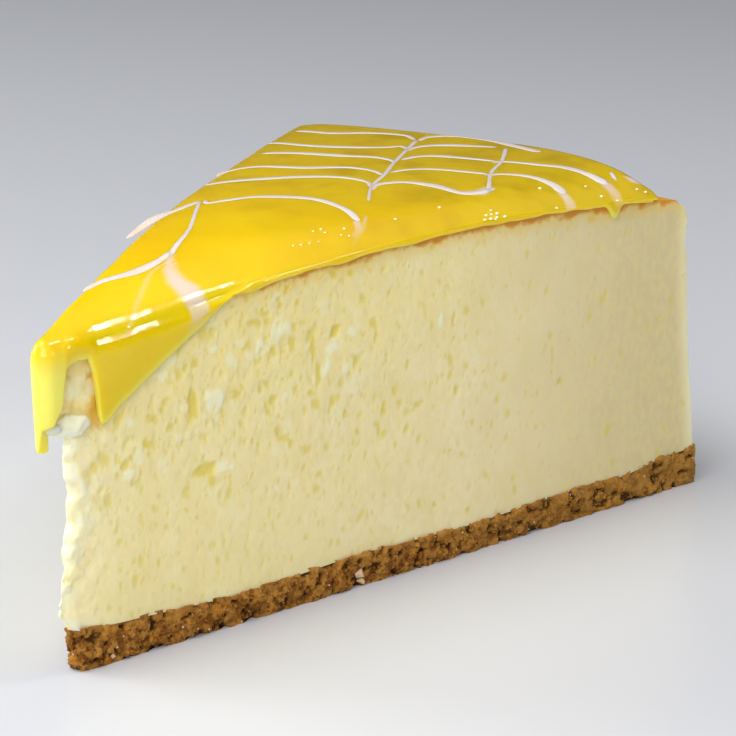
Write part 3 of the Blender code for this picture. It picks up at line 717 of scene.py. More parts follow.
def crystalBlock():  # a cube with its corners at distance 1
    corners = np.array(list(np.ndindex(2, 2, 2))) * 2.0 - 1
    faces = np.array([(0, 1, 3), (0, 3, 2), (4, 6, 7), (4, 7, 5), (0, 4, 5), (0, 5, 1),
                      (2, 3, 7), (2, 7, 6), (0, 2, 6), (0, 6, 4), (1, 5, 7), (1, 7, 3)])
    return corners / math.sqrt(3), faces


def makeBase(crumbFinish, sugarFinish):
    draw = np.random.default_rng(5)
    sides, ways, gapShade = baseRings()
    heart = np.array(cake["heart"])
    bottom = [np.column_stack([heart + share * (sides[0, :, :2] - heart), np.zeros(sides.shape[1])])
              for share in (0.3, 0.7, 0.97)]
    lid = [np.column_stack([heart + share * (sides[-1, :, :2] - heart), sides[-1, :, 2] - 0.3])
           for share in (0.97, 0.7, 0.3)]
    rings = np.concatenate([bottom, sides, lid])
    count = sides.shape[1]
    blank = np.zeros((3, count))
    # the painted shade of the gaps on the side rings
    tone = np.append(np.concatenate([blank, gapShade, blank]).ravel(), [0, 0])
    higher = 0.5 + 0.4 * smooth((np.linspace(0, 1, base["rows"]) - 0.45) / 0.4)
    lightness = np.append(np.repeat(np.concatenate([[0.5] * 3, higher, [0.9] * 3]), count), [0.5, 0.9])
    makePiece("biscuit_base_body", [closedGrid(rings)], crumbFinish, "biscuit_base",
              {"gapShade": tone, "tone": lightness}, sharp=70)
    row = draw.integers(2, base["rows"] - 1, base["crumbs"])
    column = draw.integers(0, count, base["crumbs"])
    size = base["crumbSize"][0] + (base["crumbSize"][1] - base["crumbSize"][0]) * draw.random(len(row)) ** 2
    middles = sides[row, column].copy()
    middles[:, :2] -= ways[column] * (base["crumbSunk"] * size)[:, None]
    middles[:, 2] = np.maximum(middles[:, 2], 0.8 * size)
    corners, faces = roughBall()
    crumbs = scattered(middles, size, corners, faces, draw, 0.16, 0.8)
    room = np.array([cadLow, cadHigh]) / mm - [0, tipY, 0] + [[0.05], [-0.05]]  # the solid's own box
    crumbs[0][:] = np.clip(crumbs[0], *room)
    shade = np.repeat(0.75 * draw.random(len(row)) + 0.25 * row / base["rows"], len(corners))
    values = {"tone": shade, "gapShade": 0 * shade}
    makePiece("biscuit_crumbs", [crumbs], crumbFinish, values=values, sharp=40)
    row, column = draw.integers(1, base["rows"] - 2, base["grains"]), draw.integers(0, count, base["grains"])
    size = draw.uniform(*base["grainSize"], base["grains"])
    places = [sides[row, column] + 0.05 * np.append(ways[column], np.zeros((len(row), 1)), 1)]
    reach, height, large = np.array(base["crystals"]).T
    places.append(onNearCut(reach, height, -0.2))
    size = np.append(size, large)
    middles = np.concatenate(places)
    middles[:, 2] = np.maximum(middles[:, 2], size)
    corners, faces = crystalBlock()
    grains = scattered(middles, size, corners, faces, draw, 0.12, 0.75)
    makePiece("sugar_crystals", [grains], sugarFinish, sharp=30)


crumbLooks = {
    "light": screen(180, 128, 56),
    "middle": screen(128, 80, 24),
    "deep": screen(104, 52, 10),
    "amber": screen(206, 138, 44),
    "far": screen(176, 132, 60),
    # painted shade for the gaps between crumbs
    "pit": screen(28, 13, 4),
    "sugar": screen(226, 194, 162),
    "amberSugar": screen(238, 200, 150),
    "surface": {"Roughness": 0.8, "Specular_IOR_Level": 0.15, "Subsurface_Weight": 0.12,
                "Subsurface_Radius": (1.0, 0.6, 0.3), "Subsurface_Scale": 0.0008},
    "crystal": {"Roughness": 0.18, "Subsurface_Weight": 0.4, "Subsurface_Radius": (1.0, 0.85, 0.7),
                "Subsurface_Scale": 0.001, "Coat_Weight": 0.5},
}


# Toasted browns in blotches, each crumb with its own tone, sandier towards the rim, and darkest in the gaps
# as painted shade.
def crumbFinish():
    looks = crumbLooks
    finish, tree, shader = newFinish("biscuit crumb", **looks["surface"])
    colour = blotched(tree, looks["middle"], looks["light"], 1.5, 4, 0.4, 0.6)
    colour = blotched(tree, colour, looks["amber"], 3.1, 1, 0.6, 0.68, 0.6)
    colour = blotched(tree, colour, looks["deep"], 0.8, 2, 0.54, 0.66, 0.85)
    colour = marked(tree, colour, looks["light"], "tone", 0.7, 0.55)
    colour = mixed(tree, ranged(tree, ownY(tree), 0.0, 0.055, 0, 0.55), colour, looks["far"])
    colour = marked(tree, colour, looks["deep"], "tone", 0.7, 0.4, 0)
    # painted shade in the sunken gaps
    colour = marked(tree, colour, looks["pit"], "gapShade", 0.8, 0.35)
    tree.links.new(colour, shader.inputs["Base Color"])
    bumped(tree, shader, blotches(tree, 0.5, 4), 0.9, 0.3)
    return finish


def sugarFinish():
    finish, tree, shader = newFinish("sugar crystal", **crumbLooks["crystal"])
    colour = blotched(tree, crumbLooks["sugar"], crumbLooks["amberSugar"], 3.0, 1, 0.4, 0.6)
    tree.links.new(colour, shader.inputs["Base Color"])
    return finish


makeBase(crumbFinish(), sugarFinish())


glaze = {
    "columns": {"near": 480, "rim": 110, "far": 170, "tip": 32},
    "rim": 118.4,
    "drawnBack": 1.9,  # shorter of the rim towards the near cut
    "tip": 1.0,
    "lip": {"near": 0.8, "far": 1.1, "tip": 1.68, "rim": 0.15},
    # the lower edge on each cut, by reach
    "nearDrape": [(1.3, 36.6), (1.8, 37.3), (2.8, 39.2), (3.2, 41.9), (3.7, 44.0), (4.6, 44.7), (7.6, 44.6),
                  (8.4, 42.6), (8.9, 39.5), (9.2, 36.0), (9.6, 35.0), (10.3, 35.1), (12.8, 37.2),
                  (17.9, 40.4), (23, 43.4), (26.5, 45.6), (31.5, 48.6)],
    # the same round the tip, by the way it faces in degrees: one narrow drip
    "tipDrape": [(-66, 36.0), (-56, 34.2), (-44, 33.0), (-30, 32.7), (-12, 32.8), (-2, 34.2), (10, 36.0),
                 (66, 36.6)],
    "farDrape": [(0, 35), (2, 39), (6, 40.5), (24, 47.5), (30, 48.5)],
    "drips": [(106.6, 2.0, 1.1), (36.0, 0.6, 3.0), (52.0, 0.3, 2.4), (66.0, 0.2, 3.2), (86.0, 0.3, 3.5)],
    "drapeEnds": {"near": 31.5, "far": 30},
    "edgeRound": 0.3,
    "ridgeDrop": 0.9,
    "ridgeRound": 1.0,
    # the level top: its height at the tip, its climb and up to what reach, its fall at the rim
    # and over what reach, then the swell behind the tip, its middle and its width
    "top": 49.2,
    "climb": (5.5, 65),
    "rimFall": (0.6, 50),
    "swell": (0.5, 9, 6),
    "lipHeight": 1.0,
    "lipAtTip": (1.1, 10),
    "nearDroop": 5.0,
    "farDroop": (0.6, 3.0),
    "rimRound": 3.0,
    "rimEdge": 1.4,
    # low waves along the ridge: height and length of each
    "waves": [(0.022, 7.4), (0.006, 2.4166)],
    "rings": {"edge": 7, "hanging": 27, "lip": 16, "top": 54},
    "unevenLip": 0.35,  # how much long bumps widen and narrow the lip
    "tipGrowth": 6.5,  # the near and far lips grow to the tip's over this reach
    "thinLip": (0.3, 30, 8),  # how much the near lip loses, from where and over what reach
    # the height of the lip's round, what the drape adds, where that ends and over what reach
    "lipRound": (1.0, 2.2, 33, 6),
    "turnIn": (54, 26, 80),  # degrees of the lip's round: near, what the tip adds, elsewhere
    "hanging": (0.42, 0.93, 1.35),  # thickness: most on a cut, what the tip adds, at the tip
    "reachIn": {"rim": -0.6, "cut": -0.35},
    "over": 0.05,  # how far the underside is above the filling
    # the thin, pale fringe: everywhere, on the drape, on the drip at the rim
    "fringe": (0.15, 0.4, 0.7),
    # what hangs is thin enough to be pale below a height and before a reach, each with the
    # width over which that fades, and only its part below another height
    "curtain": (46, 6, 5.5, 2.5),
    "paleBelow": (48.5, 6),
}


def glazeRim(flat):  # how far from the tip the glaze reaches, by direction
    turn = np.arctan2(flat[..., 0], flat[..., 1]) / cake["halfAngle"]
    return glaze["rim"] + 0.35 * np.sin(4.5 * turn) - glaze["drawnBack"] * np.clip((turn - 0.35) / 0.65, 0, 1)


# The glaze's top: a level field that droops to a lip at the near cut by exp(-distance / 5),
# a little at the far one, and rounds off as a quarter circle at the rim. Over the drape the
# ridge is rounder, by ridgeDrop * exp(-distance / across), where across narrows from
# ridgeRound towards the rim, with low waves along it.
def glazeTop(flat):
    distance = np.hypot(flat[..., 0], flat[..., 1])
    under = fillingHeight(distance)
    climb, climbEnd = glaze["climb"]
    fall, length = glaze["rimFall"]
    swell, middle, width = glaze["swell"]
    full = glaze["top"] + climb * np.sin(math.pi / 2 * np.clip(distance / climbEnd, 0, 1))
    full = full - fall * np.clip((distance - climbEnd) / length, 0, None) ** 3
    full = full + swell * np.exp(-(((distance - middle) / width) ** 2))
    fromNear = np.clip(flat[..., 1] * sinHalf - flat[..., 0] * cosHalf, 0, None)
    fromFar = np.clip(flat[..., 1] * sinHalf + flat[..., 0] * cosHalf, 0, None)
    fromRim = np.clip((glazeRim(flat) - distance) / glaze["rimRound"], 0, 1)
    more, fade = glaze["lipAtTip"]
    lip = under + glaze["lipHeight"] + more * np.exp(-distance / fade)
    droop, across = glaze["farDroop"]
    farFall = droop * np.clip(distance / glaze["drapeEnds"]["far"], 0, 1) * np.exp(-fromFar / across)
    top = full - (full - lip) * np.exp(-fromNear / glaze["nearDroop"]) - farFall
    overDrape = smooth((distance - 5) / 4) * smooth((36 - distance) / 6)
    (high, long), (low, short) = glaze["waves"]
    waves = high * np.sin(2 * math.pi * (distance - 13.7) / long)
    waves = waves + low * np.sin(2 * math.pi * distance / short)
    across = glaze["ridgeRound"] * (1 - 0.55 * smooth((distance - 14) / 14))
    top = top - overDrape * (glaze["ridgeDrop"] - waves) * np.exp(-fromNear / across)
    edge = under + np.minimum(glaze["rimEdge"], 0.75 * (top - under))
    return edge + (top - edge) * np.sqrt(1 - (1 - fromRim) ** 2)


def drapeEdge(flat, ways, kinds):  # the height of the lower edge all the way round
    distance = np.hypot(flat[:, 0], flat[:, 1])
    edge = fillingHeight(distance)
    for side, end in glaze["drapeEnds"].items():
        drape = np.interp(distance, *zip(*glaze[side + "Drape"])) + 2.5 * (distance > end)
        edge = np.where(kinds == side, np.minimum(edge, drape), edge)
    facing = np.degrees(np.arctan2(ways[:, 0], -ways[:, 1]))
    edge = np.where(kinds == "tip", np.interp(facing, *zip(*glaze["tipDrape"])), edge)
    for middle, length, width in glaze["drips"]:
        edge = edge - (kinds == "near") * length * np.exp(-(((distance - middle) / width) ** 2))
    place = np.column_stack([flat, 0 * distance])
    frayed = 0.9 * (softNoise(place, 0.9, 62) - 0.5) * smooth((7 - distance) / 3)
    fray = 0.35 * (softNoise(place, 2.6, 61) - 0.5) + frayed
    return edge + fray * (distance > 1.4) * (kinds != "rim")


# Icing that has smeared into the glaze, as strokes on the glaze laid flat: over an edge, the
# way down counts on outwards. Points, half width and strength at each.
smears = [
    [(-2.9, 32.9, 0.4, 0.7), (-0.7, 29.7, 0.5, 0.8), (1.4, 27.4, 0.8, 0.9), (3.6, 25.8, 1.3, 0.9),
     (6.0, 25.2, 1.8, 0.85), (8.2, 24.8, 1.6, 0.6), (9.4, 24.0, 1.3, 0.3), (10.4, 22.6, 1.0, 0.08)],
    [(16.0, 81.4, 0.8, 0.7), (17.8, 83.6, 1.1, 0.8), (17.4, 86.5, 0.8, 0.5)],
    [(26.0, 94.6, 0.8, 0.8), (27.6, 93.6, 0.9, 0.6), (28.8, 92.0, 0.8, 0.3)],
    [(28.0, 104.5, 0.9, 0.8), (30.0, 103.6, 1.0, 0.5), (31.0, 102.6, 0.9, 0.25)],
    [(29.4, 110.4, 0.9, 0.9), (30.6, 112.6, 1.1, 0.9), (31.4, 113.6, 0.8, 0.5)],
    [(11.5, 58.9, 0.5, 0.7), (13.2, 57.0, 0.6, 0.35), (13.8, 54.8, 0.5, 0.12)],
    [(-1.4, 28.8, 0.25, 0.2), (-0.7, 25.2, 0.3, 0.3), (1.7, 20.2, 0.3, 0.3), (3.6, 16.2, 0.3, 0.25),
     (4.8, 13.2, 0.3, 0.1)],
    [(11.3, 61.7, 0.25, 0.4), (13.6, 57.4, 0.3, 0.15), (14.8, 53.0, 0.3, 0.05)],
]


# How white each laid-flat point is: along each stretch of a stroke, strength times a soft
# step of one less distance over half width.
def smearAt(laid):
    white = np.zeros(laid.shape[:-1])
    for stroke in smears:
        for start, end in zip(np.array(stroke[:-1]), np.array(stroke[1:])):
            along = end[:2] - start[:2]
            share = np.clip((laid - start[:2]) @ along / (along @ along), 0, 1)
            gap = np.linalg.norm(laid - start[:2] - share[..., None] * along, axis=-1)
            width = start[2] + share * (end[2] - start[2])
            strength = start[3] + share * (end[3] - start[3])
            white = np.maximum(white, strength * smooth(2.6 * (1.15 - gap / width)))
    return white


# The glaze, from the middle of its underside out, round the lower edge, up what hangs, round
# the lip and in over the top. The lip is part of an ellipse, up to the angle where its slope
# meets the top's, and the lower edge is half a circle.
def makeGlaze(finish):
    flat, ways, kinds = sliceOutline([glaze["tip"]], [glaze["rim"]], glaze["columns"])
    flat = flat[0]
    distance = np.hypot(flat[:, 0], flat[:, 1])
    drawn = 1 + (glazeRim(flat) / glaze["rim"] - 1) * smooth((distance - glaze["rim"] + 14) / 13)
    flat = flat * drawn[:, None]
    distance = np.hypot(flat[:, 0], flat[:, 1])
    top, low = glazeTop(flat), drapeEdge(flat, ways, kinds)
    rim, atTip = kinds == "rim", kinds == "tip"
    onTop = rim | (distance > glazeRim(flat) - 1.0)
    low = np.where(onTop, fillingHeight(distance) + 0.2, low)
    lip = np.select([kinds == key for key in glaze["lip"]], list(glaze["lip"].values()))
    place = np.column_stack([flat, 0 * distance])
    lip = lip * (1 + glaze["unevenLip"] * (bumps(place, 8.0, 5) - 0.5))
    blend = np.exp(-((distance / glaze["tipGrowth"]) ** 2))
    lip = np.where(rim, lip, lip + (glaze["lip"]["tip"] - lip) * blend)
    loss, start, length = glaze["thinLip"]
    lip = np.where(kinds == "near", lip - loss * smooth((distance - start) / length), lip)
    least, more, end, fade = glaze["lipRound"]
    onDrape = smooth((end - distance) / fade)
    fall = np.minimum(least + more * onDrape, 0.45 * (top - low))
    nearTurn, tipTurn, otherTurn = glaze["turnIn"]
    turnIn = np.radians(np.where(kinds == "near", nearTurn + tipTurn * blend, otherTurn))
    most, more, tipThickness = glaze["hanging"]
    thin = np.select([rim, atTip], [lip, tipThickness], np.minimum(lip, most) + more * blend)
    inside = np.where(rim, glaze["reachIn"]["rim"], glaze["reachIn"]["cut"])
    middle, size = (thin + inside) / 2, (thin - inside) / 2
    lowRound = glaze["edgeRound"]
    under = fillingHeight(distance) + glaze["over"]
    rings, whites, thins = [], [], []

    def addRing(out, height, laidOut=None, thinness=0.0):
        rings.append(np.column_stack([flat + ways * np.reshape(out, (-1, 1)), height]))
        laid = flat + ways * np.reshape(0 * distance if laidOut is None else laidOut, (-1, 1))
        whites.append(smearAt(laid) if laidOut is not None else 0 * distance)
        thins.append(thinness + 0 * distance)

    for share in (0.15, 0.4, 0.7, 0.9, 0.97):
        inner = np.array(cake["heart"]) + share * (flat - cake["heart"])
        height = fillingHeight(np.hypot(inner[:, 0], inner[:, 1])) + glaze["over"]
        rings.append(np.column_stack([inner, height]))
        whites.append(0 * distance)
        thins.append(0 * distance)
    addRing(inside, under)
    least, draped, dripped = glaze["fringe"]
    rimDrip = glaze["drips"][0][0]
    fringe = least + draped * onDrape + dripped * np.exp(-(((distance - rimDrip) / 1.3) ** 2))
    addRing(inside, np.minimum(low + lowRound + 0.1, under - 0.02), None, fringe)
    drop = top - fall - (low + lowRound)
    level, levelFade, reach, reachFade = glaze["curtain"]
    curtain = smooth((level - (low + lowRound)) / levelFade) * smooth((reach - distance) / reachFade)
    paleBelow, paleFade = glaze["paleBelow"]
    for turn in np.linspace(0, 1, glaze["rings"]["edge"])[1:]:  # the rounded lower edge, inside to outside
        angle = math.pi * turn
        height = low + lowRound - lowRound * np.sin(angle)
        addRing(middle - size * np.cos(angle), height, 0.5 * math.pi + top - low, fringe)
    for share in np.linspace(0, 1, glaze["rings"]["hanging"])[1:-1]:  # up what hangs
        out = lip + (thin - lip) * (1 - share) ** 1.5
        height = low + lowRound + share * drop
        edge = smooth(1 - (height - low - 0.3) / np.clip(0.35 * (top - low), 0.5, 1.5))
        hung = curtain * smooth((paleBelow - height) / paleFade)
        addRing(out, height, top - height + 0.6, np.maximum(edge * fringe, hung))
    for turn in np.linspace(0, 1, glaze["rings"]["lip"])[:-1]:  # the lip, outside to top
        across = lip * (np.cos(turnIn * turn) - np.cos(turnIn)) / (1 - np.cos(turnIn))
        height = top - fall + fall * np.sin(turnIn * turn) / np.sin(turnIn)
        hung = curtain * smooth((paleBelow - height) / paleFade)
        addRing(across, height, 0.9 * (1 - turn) * (fall + lip) / 1.6, hung)
    for share in 1 - np.linspace(0, 1, glaze["rings"]["top"]) ** 1.35 * 0.97:  # in over the top
        inner = np.array(cake["heart"]) + share * (flat - cake["heart"])
        rings.append(np.column_stack([inner, glazeTop(inner)]))
        whites.append(smearAt(inner))
        thins.append(0 * distance)
    rings = np.array(rings)
    values = {"white": np.append(np.ravel(whites), [0, 0]), "thin": np.append(np.ravel(thins), [0, 0])}
    makePiece("lemon_glaze_pour", [closedGrid(rings)], finish, "lemon_glaze", values)


glazeLooks = {
    "deep": screen(242, 203, 3),
    "golden": screen(230, 184, 2),
    # far and its olive blotches: a painted reflection of the dim room on the far side
    "far": screen(212, 180, 18),
    "reflectedOlive": screen(178, 146, 12),
    "drape": screen(255, 207, 0),
    "thin": screen(250, 238, 104),
    "icing": screen(234, 210, 202),
    "surface": {"Roughness": 0.1, "Subsurface_Weight": 0.55, "Subsurface_Radius": (1.0, 0.62, 0.08),
                "Subsurface_Scale": 0.0035, "Coat_Weight": 0.25, "Coat_Roughness": 0.03, "IOR": 1.36},
}


# A wet gel: golden where it is thick, bright lemon where it is thin, and milky where icing has smeared into
# it. Towards the far side it is darker and olive in blotches, a painted reflection of the dim room.
def glazeFinish():
    looks = glazeLooks
    finish, tree, shader = newFinish("lemon glaze", **looks["surface"])
    colour = blotched(tree, looks["deep"], looks["golden"], 22.0, 2, 0.35, 0.65)
    place = ownY(tree)
    # painted reflection: darker towards the far side, with olive blotches
    colour = mixed(tree, ranged(tree, place, -0.03, 0.03, 0, 0.9), colour, looks["far"])
    oliveReflection = ranged(tree, blotches(tree, 8.0, 2), 0.5, 0.72, 0, 0.6)
    oliveReflection = combined(tree, "MULTIPLY", oliveReflection, ranged(tree, place, -0.025, 0.02))
    colour = mixed(tree, oliveReflection, colour, looks["reflectedOlive"])
    upright = addNode(tree, "SeparateXYZ", {0: addNode(tree, "NewGeometry").outputs["Normal"]}).outputs["Z"]
    colour = mixed(tree, ranged(tree, upright, 0.6, 0.1, 0, 0.8), colour, looks["drape"])
    colour = mixed(tree, attribute(tree, "thin"), colour, looks["thin"])
    colour = mixed(tree, attribute(tree, "white"), colour, looks["icing"])
    tree.links.new(colour, shader.inputs["Base Color"])
    bumped(tree, shader, blotches(tree, 6.0, 1), 0.12, 0.5)
    return finish


makeGlaze(glazeFinish())


icing = {
    "step": 0.35,  # between the points along a line
    "wider": 1.25,
    "proud": 0.07,
    "sunk": 0.3,
    "around": 14,
    "offset": -0.01,
    "ends": 1.2,  # how far from its ends a line is full
    # points of each line on the glaze, then its half width at the start, middle and end
    "lines": [
        ([(-30.9, 105.3), (-24, 105.6), (-18.6, 109.4), (-13, 110.9), (-9.3, 108.4)], (0.45, 0.75, 0.3)),
        ([(-8.5, 108.1), (-8.9, 112.1), (-5.5, 115.6), (0.5, 115.9), (6, 114.2), (11.9, 112.4)],
         (0.3, 0.8, 0.75)),
        ([(-29.5, 95.5), (-22.2, 94.8), (-15.7, 97), (-10.4, 100.3), (-8.4, 102.7), (-6.4, 101)],
         (0.45, 0.7, 0.3)),
        ([(-5.6, 99.6), (-6.1, 103.2), (-4.8, 106.2), (-1.6, 108.8), (4.5, 111.5)], (0.3, 0.7, 0.5)),
        ([(-25.1, 86.9), (-18.7, 89.4), (-12, 91.4), (-7.6, 93.2), (-4.2, 92.8), (-2.3, 91)],
         (0.5, 0.75, 0.3)),
        ([(-2.9, 93.7), (-2.2, 97.2), (0.1, 99.6), (4, 100.8), (10.1, 101.9)], (0.3, 0.7, 0.4)),
        ([(9.6, 100.4), (11.2, 102.6), (16.4, 104.2), (20, 105.6), (24, 105.4), (28.2, 104.5)],
         (0.35, 0.65, 0.85)),
        ([(-21.9, 70.6), (-22.4, 74), (-19.3, 78), (-12.8, 80.6), (-6.9, 84.6), (-2.4, 84.8), (0.7, 83)],
         (0.3, 0.65, 0.3)),
        ([(0.4, 85.1), (1.7, 88.6), (5, 91.2), (11, 92.9), (13.4, 93.4)], (0.3, 0.5, 0.4)),
        ([(13, 92.4), (15.4, 95.2), (19, 96.7), (23.2, 96.2), (26, 94.7)], (0.35, 0.55, 0.85)),
        ([(-20.1, 65), (-13.9, 70.8), (-9.3, 75.4), (-4, 78.4), (0.9, 78), (3.2, 75.4)], (0.5, 0.7, 0.3)),
        ([(4.5, 74), (3.3, 77.6), (5.6, 81.1), (10.5, 82), (15.6, 81.2), (17.6, 83.4), (18.2, 87.4)],
         (0.3, 0.8, 0.35)),
        ([(-13.6, 56.2), (-12.1, 54.7), (-10.2, 57.4), (-7.4, 61.3), (-0.3, 64.5), (6.5, 62.8), (11.6, 59.4)],
         (0.3, 0.66, 0.45)),
        ([(-12.9, 36), (-14.9, 45.6), (-14.4, 51), (-13.9, 55.6)], (0.3, 0.75, 0.35)),
        ([(-5.3, 16.3), (-5.2, 20.2), (-3, 25.1), (-2.6, 30.2), (-3.3, 33.6)], (0.35, 0.8, 0.3)),
        ([(-14.1, 55.5), (-10.7, 49.7), (-6.6, 42.6), (-4.1, 36.3), (-2.4, 32.2)], (0.2, 0.24, 0.34)),
        ([(18.6, 84.6), (13.3, 94.3), (10.5, 102.3), (5.9, 111.7)], (0.3, 0.26, 0.3)),
        ([(7.6, 68.1), (3.1, 76), (0.6, 83.4), (-2.7, 91.5), (-6, 100.3), (-9, 108.4)], (0.2, 0.28, 0.3)),
        ([(25.9, 109.9), (27.2, 108.4), (28.4, 107.2)], (0.3, 0.28, 0.25)),
    ],
}


# A smooth way through the points: a cubic between each pair whose slopes come from the
# points on either side, read at even steps.
def smoothWay(points, step):
    points = np.array(points, float)
    ends = np.concatenate([[2 * points[0] - points[1]], points, [2 * points[-1] - points[-2]]])
    pieces = []
    for before, start, end, after in zip(ends, ends[1:], ends[2:], ends[3:]):
        t = np.linspace(0, 1, max(3, int(np.linalg.norm(end - start) / step)))[:-1, None]
        bend, twist = 2 * before - 5 * start + 4 * end - after, 3 * start - before - 3 * end + after
        pieces.append(0.5 * (2 * start + (end - before) * t + bend * t**2 + twist * t**3))
    return np.concatenate([*pieces, points[-1:]])


# One line of icing: a lens across the way, proud * sin(turn) above the glaze and sunk below
# it, closed at both ends by narrowing to a point.
def icingLine(points, widths):
    way = smoothWay(points, icing["step"])
    share = np.linspace(0, 1, len(way))
    along = np.gradient(way, axis=0)
    side = np.stack([along[:, 1], -along[:, 0]], 1) / np.linalg.norm(along, axis=1, keepdims=True)
    width = icing["wider"] * np.interp(share, [0, 0.5, 1], widths)
    wobble = softNoise(np.column_stack([way, 0 * share]), 3.0, 17)
    length = np.linalg.norm(along, axis=1).sum()
    ends = np.sqrt(np.clip(np.minimum(share, 1 - share) * length / icing["ends"], 0.02, 1))
    width = width * (0.8 + 0.4 * wobble) * ends
    turn = np.linspace(0, 2 * math.pi, icing["around"], endpoint=False)
    across = np.cos(turn)[None] * width[:, None]
    flat = way[:, None] + side[:, None] * across[..., None]
    lift = np.where(np.sin(turn) > 0, icing["proud"] * np.sin(turn), icing["sunk"] * np.sin(turn))
    thick = np.minimum(1, width / 0.5) * ends
    height = glazeTop(flat) + icing["offset"] + lift[None] * thick[:, None]
    return closedGrid(np.concatenate([flat, height[..., None]], -1))


icingLooks = {
    "white": screen(255, 238, 228),
    "cream": screen(252, 224, 208),
    "surface": {"Roughness": 0.2, "Subsurface_Weight": 0.4, "Subsurface_Radius": (1.0, 0.8, 0.45),
                "Subsurface_Scale": 0.0012, "Coat_Weight": 0.4, "Coat_Roughness": 0.05},
}


def makeIcing(finish):
    parts = [icingLine(points, widths) for points, widths in icing["lines"]]
    makePiece("icing_lines", parts, finish)


def icingFinish():
    finish, tree, shader = newFinish("white icing", **icingLooks["surface"])
    colour = blotched(tree, icingLooks["white"], icingLooks["cream"], 7.0, 2, 0.35, 0.65)
    tree.links.new(colour, shader.inputs["Base Color"])
    return finish


makeIcing(icingFinish())


bubbles = {
    # x, y and radius of the small bubbles caught in the glaze
    "places": [
        (14.8, 64.2, 0.35), (16.9, 73.1, 0.35), (22.8, 92.9, 0.4), (26.6, 100.5, 0.3), (29.4, 100.5, 0.4),
        (31.5, 101.8, 0.35), (22.6, 77.1, 0.38), (22.3, 79.0, 0.3), (23.3, 79.1, 0.42), (24.0, 77.9, 0.34),
        (23.7, 76.6, 0.4), (24.7, 79.0, 0.36), (22.9, 78.1, 0.3), (24.4, 76.8, 0.28), (23.2, 75.7, 0.34),
        (9.3, 52.9, 0.3), (10.3, 52.4, 0.26), (11.5, 55.6, 0.3), (13.2, 54.3, 0.26), (12.3, 53.6, 0.22),
        (10.0, 46.7, 0.3), (10.6, 48.0, 0.26), (11.2, 49.4, 0.22), (9.4, 45.6, 0.24), (8.8, 51.6, 0.2),
        (4.8, 13.2, 0.3), (31.3, 108.6, 0.34), (32.3, 109.6, 0.4), (27.6, 89.6, 0.3),
    ],
    "smaller": 0.75,
    "flat": 0.75,  # height over radius
    "rings": 6,
    "around": 12,
    # the bubbles' near-white colour is a painted glint, standing in for the bright highlights they catch
    "surface": {"Roughness": 0.06, "Base_Color": screen(255, 247, 196), "IOR": 1.7,
                "Subsurface_Weight": 0.3, "Subsurface_Scale": 0.0005, "Coat_Weight": 1.0},
}


# Each bubble is a low dome: a circle of radius * cos(turn) at height flat * radius *
# sin(turn) above the glaze, with its foot just under it.
def makeBubbles(finish):
    x, y, radius = np.array(bubbles["places"]).T
    turn = np.linspace(-0.4, math.pi / 2 * 0.92, bubbles["rings"])
    spin = np.linspace(0, 2 * math.pi, bubbles["around"], endpoint=False)
    parts = []
    for middle, size in zip(np.stack([x, y], 1), bubbles["smaller"] * radius):
        circle = np.stack([np.cos(spin), np.sin(spin)], 1)
        flat = middle + size * np.cos(turn)[:, None, None] * circle
        height = glazeTop(middle[None])[0] + bubbles["flat"] * size * np.sin(turn)
        rings = np.concatenate([flat, np.broadcast_to(height[:, None, None], (*flat.shape[:2], 1))], -1)
        parts.append(closedGrid(rings))
    makePiece("glaze_bubbles", parts, finish)


makeBubbles(newFinish("bubble", **bubbles["surface"])[0])


tipCrumbs = {
    # masses of crumbled filling that cling below the drip: reach, height, out, then their
    # half sizes along the cut, up and out
    "masses": [(5.1, 35.6, -0.65, 3.3, 1.5, 1.25), (2.2, 35.8, -0.55, 1.8, 0.8, 0.9)],
    "rough": 0.3,
    "noise": (1.25, 90, 4),  # size, seed and octaves
    "rows": 34,
    "around": 52,
}


# A lump of rings that a noise pushes in and out: half size * (1 + rough * noise) each way.
def softLump(middle, along, up, out, seed):
    turn = np.linspace(-math.pi / 2, math.pi / 2, tipCrumbs["rows"])[1:-1]
    spin = np.linspace(0, 2 * math.pi, tipCrumbs["around"], endpoint=False)
    east, north = np.cos(turn)[:, None] * np.cos(spin), np.cos(turn)[:, None] * np.sin(spin)
    high = np.sin(turn)[:, None] * np.ones(len(spin))
    flat = (along * east)[..., None] * [sinHalf, cosHalf, 0]
    flat = flat - (out * north)[..., None] * [cosHalf, -sinHalf, 0]
    placed = flat + (up * high)[..., None] * [0, 0, 1]
    push = 1 + tipCrumbs["rough"] * 2 * (softNoise(placed + seed * 7.1, *tipCrumbs["noise"]) - 0.5)
    return closedGrid(middle + placed * push[..., None])


def makeTipCrumbs(finish):
    parts = [softLump(onNearCut(reach, height, shift), along, up, out, number)
             for number, (reach, height, shift, along, up, out) in enumerate(tipCrumbs["masses"])]
    blank = np.zeros(sum(len(points) for points, quads, triangles in parts))
    values = dict.fromkeys(("hollow", "torn", "baked", "amber", "rich", "wall", "open", "outer"), blank)
    values.update(depth=blank + 9, pale=blank + 1)
    makePiece("tip_crumbs", parts, finish, values=values)


makeTipCrumbs(bpy.data.materials["baked filling"])


